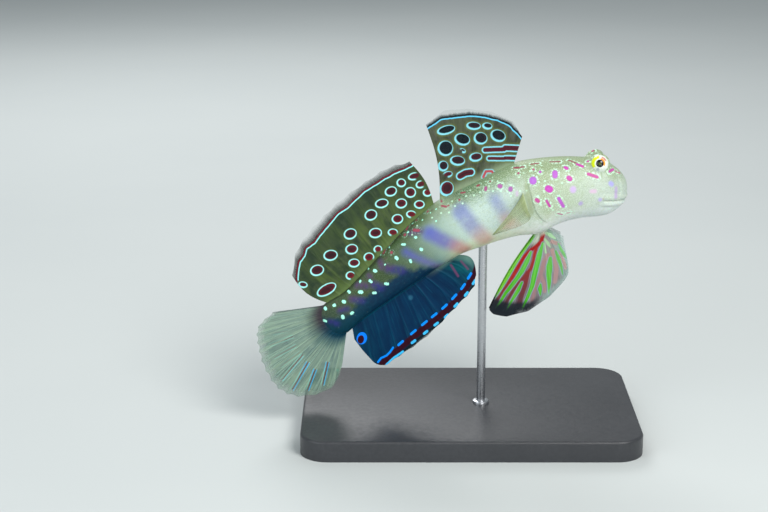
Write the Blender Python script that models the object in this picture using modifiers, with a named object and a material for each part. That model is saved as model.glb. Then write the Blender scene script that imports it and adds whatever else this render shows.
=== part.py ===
"""A shrimp goby, life size, as a still museum model swimming above a plain display stand.

The fish faces +X with its back up (+Z). Its body is one loft along a bent spine, parted into
head, trunk and tail by thin gaps, with the gill covers cut out of the cheeks as flaps. Each
fin is one sheet whose rays are ridges raised in its own surface.
"""

import math

import bmesh
import bpy
from mathutils import Matrix, Vector
from mathutils.bvhtree import BVHTree

# Driving dimensions, all in millimetres
MM = 0.001
GAP = 0.3                    # clearance kept between neighbouring pieces

# The swimming bend: the median surface lies at y = slope * x + cube * x^3
SWAY_SLOPE = 0.03
SWAY_CUBE = 2.2e-5

# Body: distance from the snout tip, x, z, back above, belly below, half width
BODY = (
    (0.0, 44.4, 69.7, 8.3, 8.5, 6.6),
    (5.5, 39.0, 69.8, 8.3, 8.5, 6.6),
    (10.8, 33.8, 70.3, 8.4, 8.5, 6.8),
    (16.5, 28.1, 70.2, 9.0, 9.0, 7.3),
    (22.3, 22.5, 69.3, 9.8, 9.6, 7.6),
    (28.2, 16.8, 67.8, 10.6, 10.8, 7.4),
    (34.1, 11.2, 66.1, 10.2, 9.9, 6.9),
    (40.2, 5.5, 63.7, 9.5, 8.9, 6.4),
    (46.4, -0.1, 61.0, 9.5, 8.2, 5.9),
    (52.7, -5.8, 58.2, 9.1, 7.6, 5.4),
    (59.2, -11.4, 54.8, 8.0, 7.5, 4.8),
    (66.2, -17.1, 50.5, 6.9, 7.2, 4.2),
    (72.9, -22.2, 46.2, 6.0, 6.6, 3.7),
    (79.5, -27.1, 41.7, 5.5, 5.7, 3.1),
    (87.0, -32.8, 36.7, 5.0, 4.9, 2.5),
    (93.0, -37.7, 33.0, 5.5, 5.4, 1.9),
    (99.0, -42.3, 29.4, 5.6, 5.5, 0.9),
)
NOSE_LENGTH = 10.8           # the snout is an elliptical nose this long
SECTION_POWER = 2.2          # 2 gives elliptical sections, more gives squarer ones
TAIL_START = 93.0            # the fleshy tail root ends in a half ellipse from here
TAIL_ROUND = 4.8

# The gill opening parts head and trunk and runs forward under the throat
GILL_OPENING = 28.3
GILL_SLANT = 6.5
SLANT_START, SLANT_END = 12.0, 46.0          # stations between which rings are slanted
SLANT_HIGH, SLANT_LOW = 95.0, 180.0          # angles over which the slant grows
VENT = 52.4                  # parts trunk and tail

# Gill covers: flaps cut free of the cheek, whose rear edge stands proud
FLAP_RISE = 0.35
FLAP_SWELL_START, FLAP_SWELL_END = 3.5, 0.8  # distances before the opening
FLAP_TOP = (35.0, 60.0)      # angles over which the swelling begins
FLAP_BOTTOM = (150.0, 175.0)
COVER_FRONT, COVER_BEND = 17.0, 3.5
COVER_TOP, COVER_BOTTOM = 60.0, 136.0
COVER_DEPTH = 0.9
COVER_OVERCUT = 2.0          # how far the cut under the cover runs past the opening
COVER_OUTCUT = 0.9           # how far its rim comes out of the cheek
COVER_RIM_ALONG, COVER_RIM_ACROSS = 0.05, 0.1

# Mouth line: height of the slit at the front and at the corner
MOUTH_FRONT_Z, MOUTH_CORNER_Z = 67.0, 67.6
MOUTH_FRONT, MOUTH_CORNER = 0.5, 8.0
MOUTH_CROWDING = 1.5         # crowds the points of the line towards the front
MOUTH_SLIT, MOUTH_DEPTH, MOUTH_OUTCUT = 0.3, 0.9, 1.2
LIP_RISE, LIP_WIDTH, LIP_PLACE = 0.42, 0.75, 0.95
LIP_CREASE, LIP_CREASE_WIDTH = 0.25, 0.35
LIP_FADE = (-0.6, 1.6)       # before and past the mouth's corner
LIP_REACH = 3.0

# Eyes stand high on the head, close together
EYE_X, EYE_Z, EYE_SPREAD = 35.4, 77.9, 3.2
EYE_RADIUS = 2.2
SOCKET_RADIUS = 2.5
EYE_DOME = 2.8
EYE_OPENING = 2.15
EYE_CUT = (1.0, 4.0)         # the opening's cutter runs between these distances from the centre
EYE_AXIS = (0.06, 0.95, 0.30)  # forward, outward, up

# Nostrils: distance from the snout, angle from the back, of the tube and of the pore
NOSTRIL_TUBE = (3.6, 40.0)
NOSTRIL_PORE = (6.0, 46.0)
NOSTRIL_BORE, NOSTRIL_DEPTH, NOSTRIL_OUTCUT = 0.25, 0.5, 1.2
NOSTRIL_TUBE_RADIUS, NOSTRIL_TUBE_LENGTH, NOSTRIL_TUBE_ROOT = 0.55, 0.6, 0.6

# Fins: thickness of the membrane at its root and margin, and over a ray
MEMBRANE, MARGIN = 0.52, 0.36
RAY_ROOT, RAY_TIP = 1.0, 0.55
RAY_HALF_WIDTH = 0.22        # share of the space between two rays

# Fin tips: place along the base, x, z of the margin
FIRST_DORSAL = (
    (0.0, 14.2, 85.2), (0.2, 11.4, 89.6), (0.4, 5.4, 92.3),
    (0.6, -1.2, 93.2), (0.8, -7.6, 92.7), (1.0, -12.8, 88.8),
)
SECOND_DORSAL = (
    (0.0, -17.4, 78.3), (0.15, -23.6, 76.6), (0.3, -29.8, 72.7), (0.45, -36.0, 68.2),
    (0.6, -41.5, 63.2), (0.75, -46.1, 58.1), (0.9, -49.6, 52.4), (1.0, -50.6, 46.0),
)
ANAL = (
    (0.0, 1.9, 44.8), (0.12, 1.2, 41.0), (0.3, -3.8, 35.1), (0.5, -12.0, 26.5),
    (0.7, -20.0, 20.6), (0.85, -25.4, 17.7), (0.95, -29.8, 21.4), (1.0, -33.0, 26.0),
)
CAUDAL = (
    (0.0, -56.2, 35.5), (0.15, -60.5, 31.2), (0.35, -60.3, 24.2), (0.5, -58.5, 17.9),
    (0.65, -54.8, 12.0), (0.8, -48.7, 9.2), (0.9, -42.6, 11.6), (1.0, -36.6, 18.2),
)
FIRST_DORSAL_BASE = (30.6, 51.6)
SECOND_DORSAL_BASE = (53.2, 92.4)
ANAL_BASE = (56.2, 91.4)
CAUDAL_SPREAD = 80.0         # the tail fin's root spans this angle above and below the midline

# Rays of each fin, and how far they bow in the fin's own plane
FIRST_DORSAL_RAYS, FIRST_DORSAL_BOW = 6, 1.3
SECOND_DORSAL_RAYS, SECOND_DORSAL_BOW = 11, -1.6
ANAL_RAYS, ANAL_BOW = 11, -3.0
CAUDAL_RAYS = 15
PECTORAL_RAYS = 11
PELVIC_RAYS = 6

# Pectoral fins: tips as place along the base, x, z and distance out from the median
PECTORAL = (
    (0.0, 4.4, 62.7, 21.5), (0.5, 4.9, 61.8, 18.5), (1.0, 8.2, 61.2, 13.0),
)
PECTORAL_STATION = 30.2
PECTORAL_TOP, PECTORAL_BOTTOM = 72.0, 107.0
PECTORAL_STAND_OFF, PECTORAL_DROOP = 4.5, 1.5   # the bend, which droops at the top ray

# Pelvic fins: the same, from the inner ray at the rear to the outer one in front
PELVIC = (
    (0.0, 5.8, 34.4, 0.9), (0.2, 10.6, 33.3, 2.6), (0.4, 16.0, 36.0, 4.4),
    (0.6, 21.9, 40.6, 5.4), (0.8, 27.2, 46.8, 5.0), (1.0, 26.2, 56.7, 2.3),
)
PELVIC_BASE_X = (17.8, 21.3)
PELVIC_BASE_OUT = (0.7, 2.2)
PELVIC_GAP = (0.4, 0.3)      # gap to the breast at the inner ray, and how much it grows
PELVIC_SIGHT_Z = 30.0        # height below the breast from which it is sought

# Stand
BASE_LENGTH, BASE_WIDTH, BASE_THICKNESS = 96.0, 62.0, 6.0
BASE_CORNER, BASE_EDGE = 8.0, 0.8
ROD_X, ROD_RADIUS = 3.7, 1.25
ROD_SOCKET = 3.0
ROD_BLANK = 30.0             # the rod's length before its top is fitted to the belly
ROD_GAP = 0.35

# Facets
AROUND, TAIL_AROUND = 36, 28
NOSE_RINGS = range(8, 90, 7)                 # degrees round the snout's end
TAIL_RINGS = (20, 40, 58, 72, 82)            # degrees round the tail root's end
HEAD_RINGS, TRUNK_RINGS, STEM_RINGS = 10, 14, 15
MOUTH_STEPS = 16
SHARP = 35.0                 # degrees


# Curves and the body surface

def interpolate(table, t):
    """Smooth values at t of rows (t, value, ...), through every row."""
    keys = [row[0] for row in table]
    i = max(0, min(len(keys) - 2, sum(key <= t for key in keys) - 1))
    span = keys[i + 1] - keys[i]
    k = (t - keys[i]) / span

    def slope(j, column):
        before, after = max(j - 1, 0), min(j + 1, len(keys) - 1)
        return (table[after][column] - table[before][column]) / (keys[after] - keys[before])

    values = []
    for column in range(1, len(table[0])):
        a, b = table[i][column], table[i + 1][column]
        da, db = slope(i, column) * span, slope(i + 1, column) * span
        values.append(a + k * (da + k * (3 * (b - a) - 2 * da - db + k * (2 * (a - b) + da + db))))
    return values


def smoothstep(low, high, value):
    k = max(0.0, min(1.0, (value - low) / (high - low)))
    return k * k * (3 - 2 * k)


def bump(value, width):
    return math.exp(-(value / width) ** 2)


def sway(x):
    return SWAY_SLOPE * x + SWAY_CUBE * x ** 3


def frame_at(x):
    """Unit vector to the fish's left at a place along it."""
    lean = SWAY_SLOPE + 3 * SWAY_CUBE * x * x
    return Vector((-lean, 1.0, 0.0)).normalized()


def median(x, z, out=0.0, side=-1):
    """A point over the median surface, out to one side of it (-1 is the fish's right)."""
    return Vector((x, sway(x), z)) + frame_at(x) * (side * out)


def spine(s):
    x, z, above, below, half = interpolate(BODY, s)
    ahead, behind = interpolate(BODY, s - 0.5), interpolate(BODY, s + 0.5)
    forward = (median(ahead[0], ahead[1]) - median(behind[0], behind[1])).normalized()
    left = frame_at(x)
    return median(x, z), forward, left, forward.cross(left).normalized(), above, below, half


def taper(s):
    """Share of the full section left at the rounded snout and at the tail root."""
    if s < NOSE_LENGTH:
        return math.sqrt(max(0.0, 1 - ((NOSE_LENGTH - s) / NOSE_LENGTH) ** 2))
    if s > TAIL_START:
        return math.sqrt(max(0.0, 1 - ((s - TAIL_START) / TAIL_ROUND) ** 2))
    return 1.0


def slanted(s, angle):
    """Station of a ring's point: rings near the gill opening run forward at the throat."""
    round_angle = abs((angle + 180) % 360 - 180)
    near = smoothstep(SLANT_START, GILL_OPENING, s) * (1 - smoothstep(GILL_OPENING, SLANT_END, s))
    return s - GILL_SLANT * near * smoothstep(SLANT_HIGH, SLANT_LOW, round_angle)


def skin(s, angle, lift=0.0):
    """Point of the plain body at a station and an angle from the back, over the fish's right."""
    s = slanted(s, angle)
    centre, forward, left, up, above, below, half = spine(s)
    c, w = math.cos(math.radians(angle)), math.sin(math.radians(angle))
    rise = math.copysign(abs(c) ** (2 / SECTION_POWER), c) * (above if c > 0 else below)
    out = math.copysign(abs(w) ** (2 / SECTION_POWER), w) * half
    share = taper(s)
    point = centre + (up * rise - left * out) * share
    if not lift:
        return point
    if s < NOSE_LENGTH:
        outward = point - spine(NOSE_LENGTH)[0]
    else:
        outward = up * rise / (above * above) - left * out / (half * half)
    return point + outward.normalized() * lift


def mouth_angle(s):
    """Angle from the back at which the mouth line crosses the ring at a station."""
    x, z, above, below, half = interpolate(BODY, s)
    along = (s - MOUTH_FRONT) / (MOUTH_CORNER - MOUTH_FRONT)
    height = MOUTH_FRONT_Z + (MOUTH_CORNER_Z - MOUTH_FRONT_Z) * along
    share = min(1.0, max(0.0, (z - height) / (below * max(taper(s), 0.05))))
    return 180 - math.degrees(math.acos(min(1.0, share ** (SECTION_POWER / 2))))


def mouth_station(share):
    """Station at a share of the way along the mouth line, from its front to its corner."""
    return MOUTH_FRONT + (MOUTH_CORNER - MOUTH_FRONT) * share ** MOUTH_CROWDING


MOUTH_LINE = [
    skin(s, side * mouth_angle(s))
    for side in (1, -1)
    for s in [mouth_station(k / MOUTH_STEPS) for k in range(MOUTH_STEPS + 1)]
]


def lip_lift(point):
    """Rise of the lips along the mouth line, and the crease between them."""
    nearest = min(MOUTH_LINE, key=lambda p: (p - point).length_squared)
    away = (nearest - point).length
    corner_x = interpolate(BODY, MOUTH_CORNER)[0]
    fade = smoothstep(corner_x + LIP_FADE[0], corner_x + LIP_FADE[1], nearest.x)
    crease = LIP_CREASE * bump(away, LIP_CREASE_WIDTH)
    return fade * (LIP_RISE * bump(away - LIP_PLACE, LIP_WIDTH) - crease)


def flap_lift(s, angle):
    """Rise of the gill cover's free edge just before the gill opening."""
    round_angle = abs((angle + 180) % 360 - 180)
    across = smoothstep(*FLAP_TOP, round_angle) * (1 - smoothstep(*FLAP_BOTTOM, round_angle))
    before = GILL_OPENING - s
    return FLAP_RISE * across * smoothstep(-FLAP_SWELL_START, -FLAP_SWELL_END, -before)


# Mesh helpers

def srgb(*colour):
    return [(c / 255 / 12.92) if c < 11 else ((c / 255 + 0.055) / 1.055) ** 2.4 for c in colour]


def finish(obj, colour, roughness=0.45, metallic=0.0):
    material = bpy.data.materials.new(obj.name)
    material.use_nodes = True
    shader = material.node_tree.nodes["Principled BSDF"]
    shader.inputs["Base Color"].default_value = (*srgb(*colour), 1.0)
    shader.inputs["Roughness"].default_value = roughness
    shader.inputs["Metallic"].default_value = metallic
    obj.data.materials.clear()
    obj.data.materials.append(material)
    obj.data.shade_smooth()
    obj.data.set_sharp_from_angle(angle=math.radians(SHARP))
    return obj


def make(name, bm, group):
    bmesh.ops.recalc_face_normals(bm, faces=bm.faces)
    mesh = bpy.data.meshes.new(name)
    bm.to_mesh(mesh)
    bm.free()
    obj = bpy.data.objects.new(name, mesh)
    group.objects.link(obj)
    return obj


def loft(name, rings, first, last, group):
    """Closed body through rings of points, with a fan of faces to one point at each end."""
    bm = bmesh.new()
    loops = [[bm.verts.new(p * MM) for p in ring] for ring in rings]
    count = len(loops[0])
    for a, b in zip(loops, loops[1:]):
        for k in range(count):
            bm.faces.new((a[k], a[(k + 1) % count], b[(k + 1) % count], b[k]))
    for loop, tip in ((loops[0], first), (loops[-1], last)):
        end = bm.verts.new(tip * MM)
        for k in range(count):
            bm.faces.new((loop[k], loop[(k + 1) % count], end))
    return make(name, bm, group)


def ball(name, radius, centre, group, segments=18, rings=11):
    bm = bmesh.new()
    bmesh.ops.create_uvsphere(bm, u_segments=segments, v_segments=rings, radius=radius * MM)
    bmesh.ops.translate(bm, verts=bm.verts, vec=centre * MM)
    return make(name, bm, group)


def pin(name, radius, start, end, group, segments=16):
    """Round pin between two points."""
    axis = end - start
    bm = bmesh.new()
    bmesh.ops.create_cone(bm, cap_ends=True, segments=segments, radius1=radius * MM,
                          radius2=radius * MM, depth=axis.length * MM)
    turn = axis.to_track_quat("Z", "Y").to_matrix().to_4x4()
    bmesh.ops.transform(bm, matrix=Matrix.Translation((start + end) / 2 * MM) @ turn, verts=bm.verts)
    return make(name, bm, group)


def sheet(name, columns, rows, place, thickness, group):
    """Closed sheet: place(u, v) gives its middle and thickness(u, v) its thickness."""
    bm = bmesh.new()
    bmesh.ops.create_grid(bm, x_segments=len(columns) - 1, y_segments=len(rows) - 1, size=0.5)
    layer = bm.verts.layers.deform.verify()
    thickest = max(thickness(u, v) for u in columns for v in rows)
    for vert in bm.verts:
        u = columns[round((vert.co.x + 0.5) * (len(columns) - 1))]
        v = rows[round((vert.co.y + 0.5) * (len(rows) - 1))]
        vert.co = place(u, v) * MM
        vert[layer][0] = thickness(u, v) / thickest
    bmesh.ops.triangulate(bm, faces=bm.faces, quad_method="SHORT_EDGE")
    obj = make(name, bm, group)
    obj.vertex_groups.new(name="thickness")
    solid = obj.modifiers.new("Solidify", "SOLIDIFY")
    solid.thickness = thickest * MM
    solid.offset = 0.0
    solid.vertex_group = "thickness"
    solid.use_even_offset = False
    return obj


def bake(obj):
    """Replace an object's mesh with its evaluated one."""
    bpy.context.view_layer.update()
    mesh = bpy.data.meshes.new_from_object(obj.evaluated_get(bpy.context.evaluated_depsgraph_get()))
    obj.modifiers.clear()
    obj.data = mesh
    return obj


def combine(obj, group, operation):
    """Join or cut an object with every object of a collection."""
    modifier = obj.modifiers.new(operation, "BOOLEAN")
    modifier.operation = operation
    modifier.operand_type = "COLLECTION"
    modifier.collection = group
    modifier.solver = "EXACT"
    return bake(obj)


def closed_parts(obj):
    """The vertex sets of an object's separate bodies, largest first."""
    bm = bmesh.new()
    bm.from_mesh(obj.data)
    bm.verts.ensure_lookup_table()
    seen, parts = set(), []
    for start in bm.verts:
        if start.index in seen:
            continue
        stack, part = [start], set()
        seen.add(start.index)
        while stack:
            vert = stack.pop()
            part.add(vert.index)
            for edge in vert.link_edges:
                other = edge.other_vert(vert)
                if other.index not in seen:
                    seen.add(other.index)
                    stack.append(other)
        parts.append(part)
    bm.free()
    return sorted(parts, key=len, reverse=True)


def keep(obj, part, name, group):
    """A copy of an object that holds only one of its bodies."""
    bm = bmesh.new()
    bm.from_mesh(obj.data)
    bmesh.ops.delete(bm, geom=[v for v in bm.verts if v.index not in part], context="VERTS")
    return make(name, bm, group)


def collection(name):
    group = bpy.data.collections.new(name)
    bpy.context.scene.collection.children.link(group)
    return group


def clear(group):
    for obj in list(group.objects):
        bpy.data.objects.remove(obj)


# Body

def ring(s, angles, lift=None):
    points = []
    for angle in angles:
        rise = flap_lift(s, angle) if lift is None else lift
        point = skin(s, angle, rise)
        if s < MOUTH_CORNER + LIP_REACH:
            point = skin(s, angle, rise + lip_lift(point))
        points.append(point)
    return points


def body_angles(count):
    return [360 * k / count for k in range(count)]


def steps(first, last, count):
    return [first + (last - first) * k / count for k in range(count + 1)]


def mouth_cutter(group):
    """Thin sheet along the mouth line, from one corner round the front to the other."""
    def place(u, v):
        s = mouth_station(abs(u))
        lift = -MOUTH_DEPTH + (MOUTH_DEPTH + MOUTH_OUTCUT) * v
        return skin(s, math.copysign(mouth_angle(s), u), lift)
    return sheet("mouth_cutter", steps(-1, 1, 28), (0.0, 1.0), place, lambda u, v: MOUTH_SLIT, group)


def gill_cutter(side, group):
    """Thin tray under a gill cover, open to the rear, whose rim rises out of the cheek."""
    def place(u, v):
        angle = COVER_TOP + (COVER_BOTTOM - COVER_TOP) * v
        front = COVER_FRONT + COVER_BEND * (2 * v - 1) ** 2
        s = front + (GILL_OPENING + COVER_OVERCUT - front) * u
        inside = min(smoothstep(0.0, COVER_RIM_ALONG, u), smoothstep(0.0, COVER_RIM_ACROSS, v),
                     smoothstep(0.0, COVER_RIM_ACROSS, 1 - v))
        return skin(s, side * angle, COVER_OUTCUT - (COVER_OUTCUT + COVER_DEPTH) * inside)
    columns = (0.0, 0.05, 0.2, 0.4, 0.6, 0.8, 1.0)
    rows = (0.0, 0.1, 0.25, 0.42, 0.58, 0.75, 0.9, 1.0)
    return sheet("gill_cutter", columns, rows, place, lambda u, v: GAP, group)


def eye_centre(side):
    return median(EYE_X, EYE_Z, EYE_SPREAD, side)


def eye_axis(side):
    left = frame_at(EYE_X)
    ahead = Vector((left.y, -left.x, 0.0))
    forward, outward, up = EYE_AXIS
    return (ahead * forward + left * side * outward + Vector((0.0, 0, up))).normalized()


def make_head(model, cutters, joined):
    nose = [NOSE_LENGTH * (1 - math.cos(math.radians(a))) for a in NOSE_RINGS]
    stations = nose + steps(NOSE_LENGTH, GILL_OPENING - GAP / 2, HEAD_RINGS)
    angles = body_angles(AROUND)
    tip = skin(0.0, 0.0)
    rear = spine(GILL_OPENING - GAP / 2)[0]
    head = loft("head", [ring(s, angles) for s in stations], tip, rear, model)
    for side in (1.0, -1):
        ball("dome", EYE_DOME, eye_centre(side), joined)
        s, angle = NOSTRIL_TUBE
        pin("tube", NOSTRIL_TUBE_RADIUS, skin(s, side * angle, -NOSTRIL_TUBE_ROOT),
            skin(s, side * angle, NOSTRIL_TUBE_LENGTH), joined, 10)
    combine(head, joined, "UNION")
    clear(joined)
    for side in (1.0, -1):
        centre, axis = eye_centre(side), eye_axis(side)
        ball("socket", SOCKET_RADIUS, centre, cutters)
        pin("opening", EYE_OPENING, centre + axis * EYE_CUT[0], centre + axis * EYE_CUT[1],
            cutters, 24)
        for s, angle in (NOSTRIL_TUBE, NOSTRIL_PORE):
            pin("nostril", NOSTRIL_BORE, skin(s, side * angle, -NOSTRIL_DEPTH),
                skin(s, side * angle, NOSTRIL_OUTCUT), cutters, 8)
        gill_cutter(side, cutters)
    mouth_cutter(cutters)
    combine(head, cutters, "DIFFERENCE")
    parts = closed_parts(head)
    covers = []
    for part in parts[1:3]:
        cover = keep(head, part, "gill_cover", model)
        middle = sum((v.co for v in cover.data.vertices), Vector()) / len(cover.data.vertices)
        cover.name = "gill_cover_right" if middle.y < sway(middle.x / MM) * MM else "gill_cover_left"
        covers.append(cover)
    whole = keep(head, parts[0], "head_main", model)
    bpy.data.objects.remove(head)
    whole.name = "head"
    finish(whole, (196, 208, 190))
    for cover in covers:
        finish(cover, (205, 212, 190))
    return whole


def make_trunk(model):
    front, rear = GILL_OPENING + GAP / 2, VENT - GAP / 2
    rings = [ring(s, body_angles(AROUND), 0.0) for s in steps(front, rear, TRUNK_RINGS)]
    trunk = loft("trunk", rings, spine(front)[0], spine(rear)[0], model)
    return finish(trunk, (150, 165, 140))


def make_tail(model):
    front = VENT + GAP / 2
    angles = body_angles(TAIL_AROUND)
    stations = steps(front, TAIL_START, STEM_RINGS)
    stations += [TAIL_START + TAIL_ROUND * math.sin(math.radians(a)) for a in TAIL_RINGS]
    rings = [ring(s, angles, 0.0) for s in stations]
    end = skin(TAIL_START + TAIL_ROUND, 0.0)
    return finish(loft("tail_stem", rings, spine(front)[0], end, model), (50, 60, 90))


def make_eye(side, model):
    name = "eye_right" if side < 0 else "eye_left"
    return finish(ball(name, EYE_RADIUS, eye_centre(side), model), (230, 235, 225), 0.08)


# Fins

def ray_columns(count):
    """Places along the fin base of each ray and of the membrane close on both sides of it."""
    places = []
    for k in range(count):
        for shift in (-RAY_HALF_WIDTH, 0.0, RAY_HALF_WIDTH):
            place = (k + shift) / (count - 1)
            if 0 <= place <= 1:
                places.append(place)
    return places


def ray_thickness(count):
    def thickness(u, v):
        away = abs(u * (count - 1) - round(u * (count - 1)))
        flat = MEMBRANE + (MARGIN - MEMBRANE) * v ** 3
        ray = RAY_ROOT + (RAY_TIP - RAY_ROOT) * v
        return ray if away < RAY_HALF_WIDTH / 2 else flat
    return thickness


def fin(name, rays, rows, root, tip, bow, model, colour):
    """Fin whose rays run from root(u) to tip(u), bent sideways in its own plane by bow(u)."""
    def place(u, v):
        start, end = root(u), tip(u)
        along = end - start
        across = Vector((along.z, 0.0, -along.x)).normalized()
        return start.lerp(end, v) + across * bow(u) * math.sin(math.pi * v)

    heights = [k / rows for k in range(rows + 1)]
    obj = sheet(name, ray_columns(rays), heights, place, ray_thickness(rays), model)
    return finish(obj, colour, 0.5)


def upright(table, base, angle):
    """Root on the body's midline and tips over the median surface, for an unpaired fin."""
    def root(u):
        return skin(base[0] + (base[1] - base[0]) * u, angle, GAP)

    def tip(u):
        x, z = interpolate(table, u)
        return median(x, z)
    return root, tip


def on_median(point):
    return Vector((point.x, sway(point.x), point.z))


def tail_root(u):
    """Root of the tail fin: round the half ellipse that ends the fleshy tail."""
    angle = math.radians(CAUDAL_SPREAD * (1 - 2 * u))
    centre, forward, left, up, above, below, half = spine(TAIL_START)
    height = (above if angle > 0 else below) + GAP
    return on_median(centre - forward * (TAIL_ROUND + GAP) * math.cos(angle) + up * height * math.sin(angle))


def make_median_fins(model):
    root, tip = upright(FIRST_DORSAL, FIRST_DORSAL_BASE, 0)
    fin("dorsal_fin_first", FIRST_DORSAL_RAYS, 7, root, tip, lambda u: FIRST_DORSAL_BOW * u * u,
        model, (95, 110, 70))
    root, tip = upright(SECOND_DORSAL, SECOND_DORSAL_BASE, 0)
    fin("dorsal_fin_second", SECOND_DORSAL_RAYS, 6, root, tip, lambda u: SECOND_DORSAL_BOW * u ** 3,
        model, (80, 95, 45))
    root, tip = upright(ANAL, ANAL_BASE, 180)
    fin("anal_fin", ANAL_RAYS, 6, root, tip, lambda u: ANAL_BOW * (1 - u) ** 4, model, (8, 45, 90))
    fin("caudal_fin", CAUDAL_RAYS, 5, tail_root, lambda u: median(*interpolate(CAUDAL, u)),
        lambda u: 0.0, model, (120, 150, 135))


def make_pectoral(side, model):
    """Fan that leaves the flank square to it and bends out, back and down."""
    def place(u, v):
        angle = -side * (PECTORAL_TOP + (PECTORAL_BOTTOM - PECTORAL_TOP) * u)
        start = skin(PECTORAL_STATION, angle, GAP)
        middle = skin(PECTORAL_STATION, angle, GAP + PECTORAL_STAND_OFF)
        middle.z -= PECTORAL_DROOP * (1 - u)
        x, z, out = interpolate(PECTORAL, u)
        end = median(x, z, out, side)
        return start.lerp(middle, v).lerp(middle.lerp(end, v), v)

    name = "pectoral_fin_right" if side < 0 else "pectoral_fin_left"
    rows = (0.0, 0.12, 0.28, 0.46, 0.64, 0.82, 1.0)
    columns, thickness = ray_columns(PECTORAL_RAYS), ray_thickness(PECTORAL_RAYS)
    return finish(sheet(name, columns, rows, place, thickness, model), (150, 165, 110), 0.4)


def make_pelvic(side, trunk, model):
    """Half of the pelvic disc, hung under the breast."""
    tree = BVHTree.FromObject(trunk, bpy.context.evaluated_depsgraph_get())

    def place(u, v):
        x = PELVIC_BASE_X[0] + (PELVIC_BASE_X[1] - PELVIC_BASE_X[0]) * u
        out = PELVIC_BASE_OUT[0] + (PELVIC_BASE_OUT[1] - PELVIC_BASE_OUT[0]) * u
        start = median(x, PELVIC_SIGHT_Z, out, side)
        hit = tree.ray_cast(start * MM, Vector((0.0, 0, 1)))[0]
        start.z = hit.z / MM - PELVIC_GAP[0] - PELVIC_GAP[1] * u
        x, z, out = interpolate(PELVIC, u)
        return start.lerp(median(x, z, out, side), v)

    name = "pelvic_fin_right" if side < 0 else "pelvic_fin_left"
    columns, thickness = ray_columns(PELVIC_RAYS), ray_thickness(PELVIC_RAYS)
    return finish(sheet(name, columns, steps(0, 1, 7), place, thickness, model), (90, 190, 60), 0.5)


# Stand

def make_stand(trunk, model):
    bm = bmesh.new()
    bmesh.ops.create_cube(bm, size=1.0)
    for vert in bm.verts:
        vert.co = Vector((vert.co.x * BASE_LENGTH, vert.co.y * BASE_WIDTH,
                          (vert.co.z + 0.5) * BASE_THICKNESS)) * MM
    corners = [e for e in bm.edges if abs(e.verts[0].co.z - e.verts[1].co.z) > 0.001]
    bmesh.ops.bevel(bm, geom=corners, offset=BASE_CORNER * MM, segments=6, profile=0.5,
                    affect="EDGES")
    rim = [e for e in bm.edges if all(abs(v.co.z - BASE_THICKNESS * MM) < 1e-6 for v in e.verts)]
    bmesh.ops.bevel(bm, geom=rim, offset=BASE_EDGE * MM, segments=2, profile=0.5, affect="EDGES")
    base = make("stand_base", bm, model)
    foot = Vector((ROD_X, sway(ROD_X), BASE_THICKNESS - ROD_SOCKET))
    socket = collection("socket_cutter")
    pin("rod_socket", ROD_RADIUS + GAP, foot - Vector((0.0, 0, GAP)),
        foot + Vector((0.0, 0, ROD_SOCKET + 2)), socket, 24)
    combine(base, socket, "DIFFERENCE")
    hide(socket)
    finish(base, (40, 42, 46), 0.35)

    rod = pin("stand_rod", ROD_RADIUS, foot, foot + Vector((0.0, 0, ROD_BLANK)), model, 24)
    tree = BVHTree.FromObject(trunk, bpy.context.evaluated_depsgraph_get())
    for vert in rod.data.vertices:
        if vert.co.z > foot.z * MM + 0.01:
            hit = tree.ray_cast(vert.co, Vector((0.0, 0, 1)))[0]
            vert.co.z = hit.z - ROD_GAP * MM
    return finish(rod, (190, 192, 196), 0.25, 1.0)


def hide(group):
    for obj in group.objects:
        obj.hide_render = True
        obj.display_type = "WIRE"


def main():
    for obj in list(bpy.data.objects):
        bpy.data.objects.remove(obj)
    model = collection("shrimp_goby")
    cutters = collection("cutters")
    joined = collection("joined")
    make_head(model, cutters, joined)
    trunk = make_trunk(model)
    make_tail(model)
    for side in (-1, 1):
        make_eye(side, model)
        make_pectoral(side, model)
        make_pelvic(side, trunk, model)
    make_median_fins(model)
    make_stand(trunk, model)
    hide(cutters)
    bpy.data.collections.remove(joined)


main()
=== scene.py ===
"""The looks of the shrimp goby: its skin, eyes, fins and stand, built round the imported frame.

The shapes are worked out in millimetres along the same bent spine as the solids. Markings are
named by where they show in the photograph's 768 x 512 frame, carried onto the skin and the fins
by the camera's own view, and kept as distance fields on the meshes, which the materials read.
"""

import math

import bmesh
import bpy
import numpy as np
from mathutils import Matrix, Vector


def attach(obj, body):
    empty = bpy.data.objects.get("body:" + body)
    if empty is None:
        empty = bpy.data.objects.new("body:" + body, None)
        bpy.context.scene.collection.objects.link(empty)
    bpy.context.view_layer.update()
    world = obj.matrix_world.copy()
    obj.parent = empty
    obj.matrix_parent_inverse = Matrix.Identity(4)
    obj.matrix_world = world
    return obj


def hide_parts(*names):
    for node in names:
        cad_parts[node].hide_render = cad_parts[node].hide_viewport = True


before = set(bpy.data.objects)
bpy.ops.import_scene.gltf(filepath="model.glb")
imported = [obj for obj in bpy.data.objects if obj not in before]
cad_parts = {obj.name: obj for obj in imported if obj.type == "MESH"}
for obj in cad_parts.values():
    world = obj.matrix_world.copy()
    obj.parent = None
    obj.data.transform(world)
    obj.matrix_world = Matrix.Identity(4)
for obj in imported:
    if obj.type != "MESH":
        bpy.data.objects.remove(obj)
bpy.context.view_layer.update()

MM = 0.001

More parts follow.
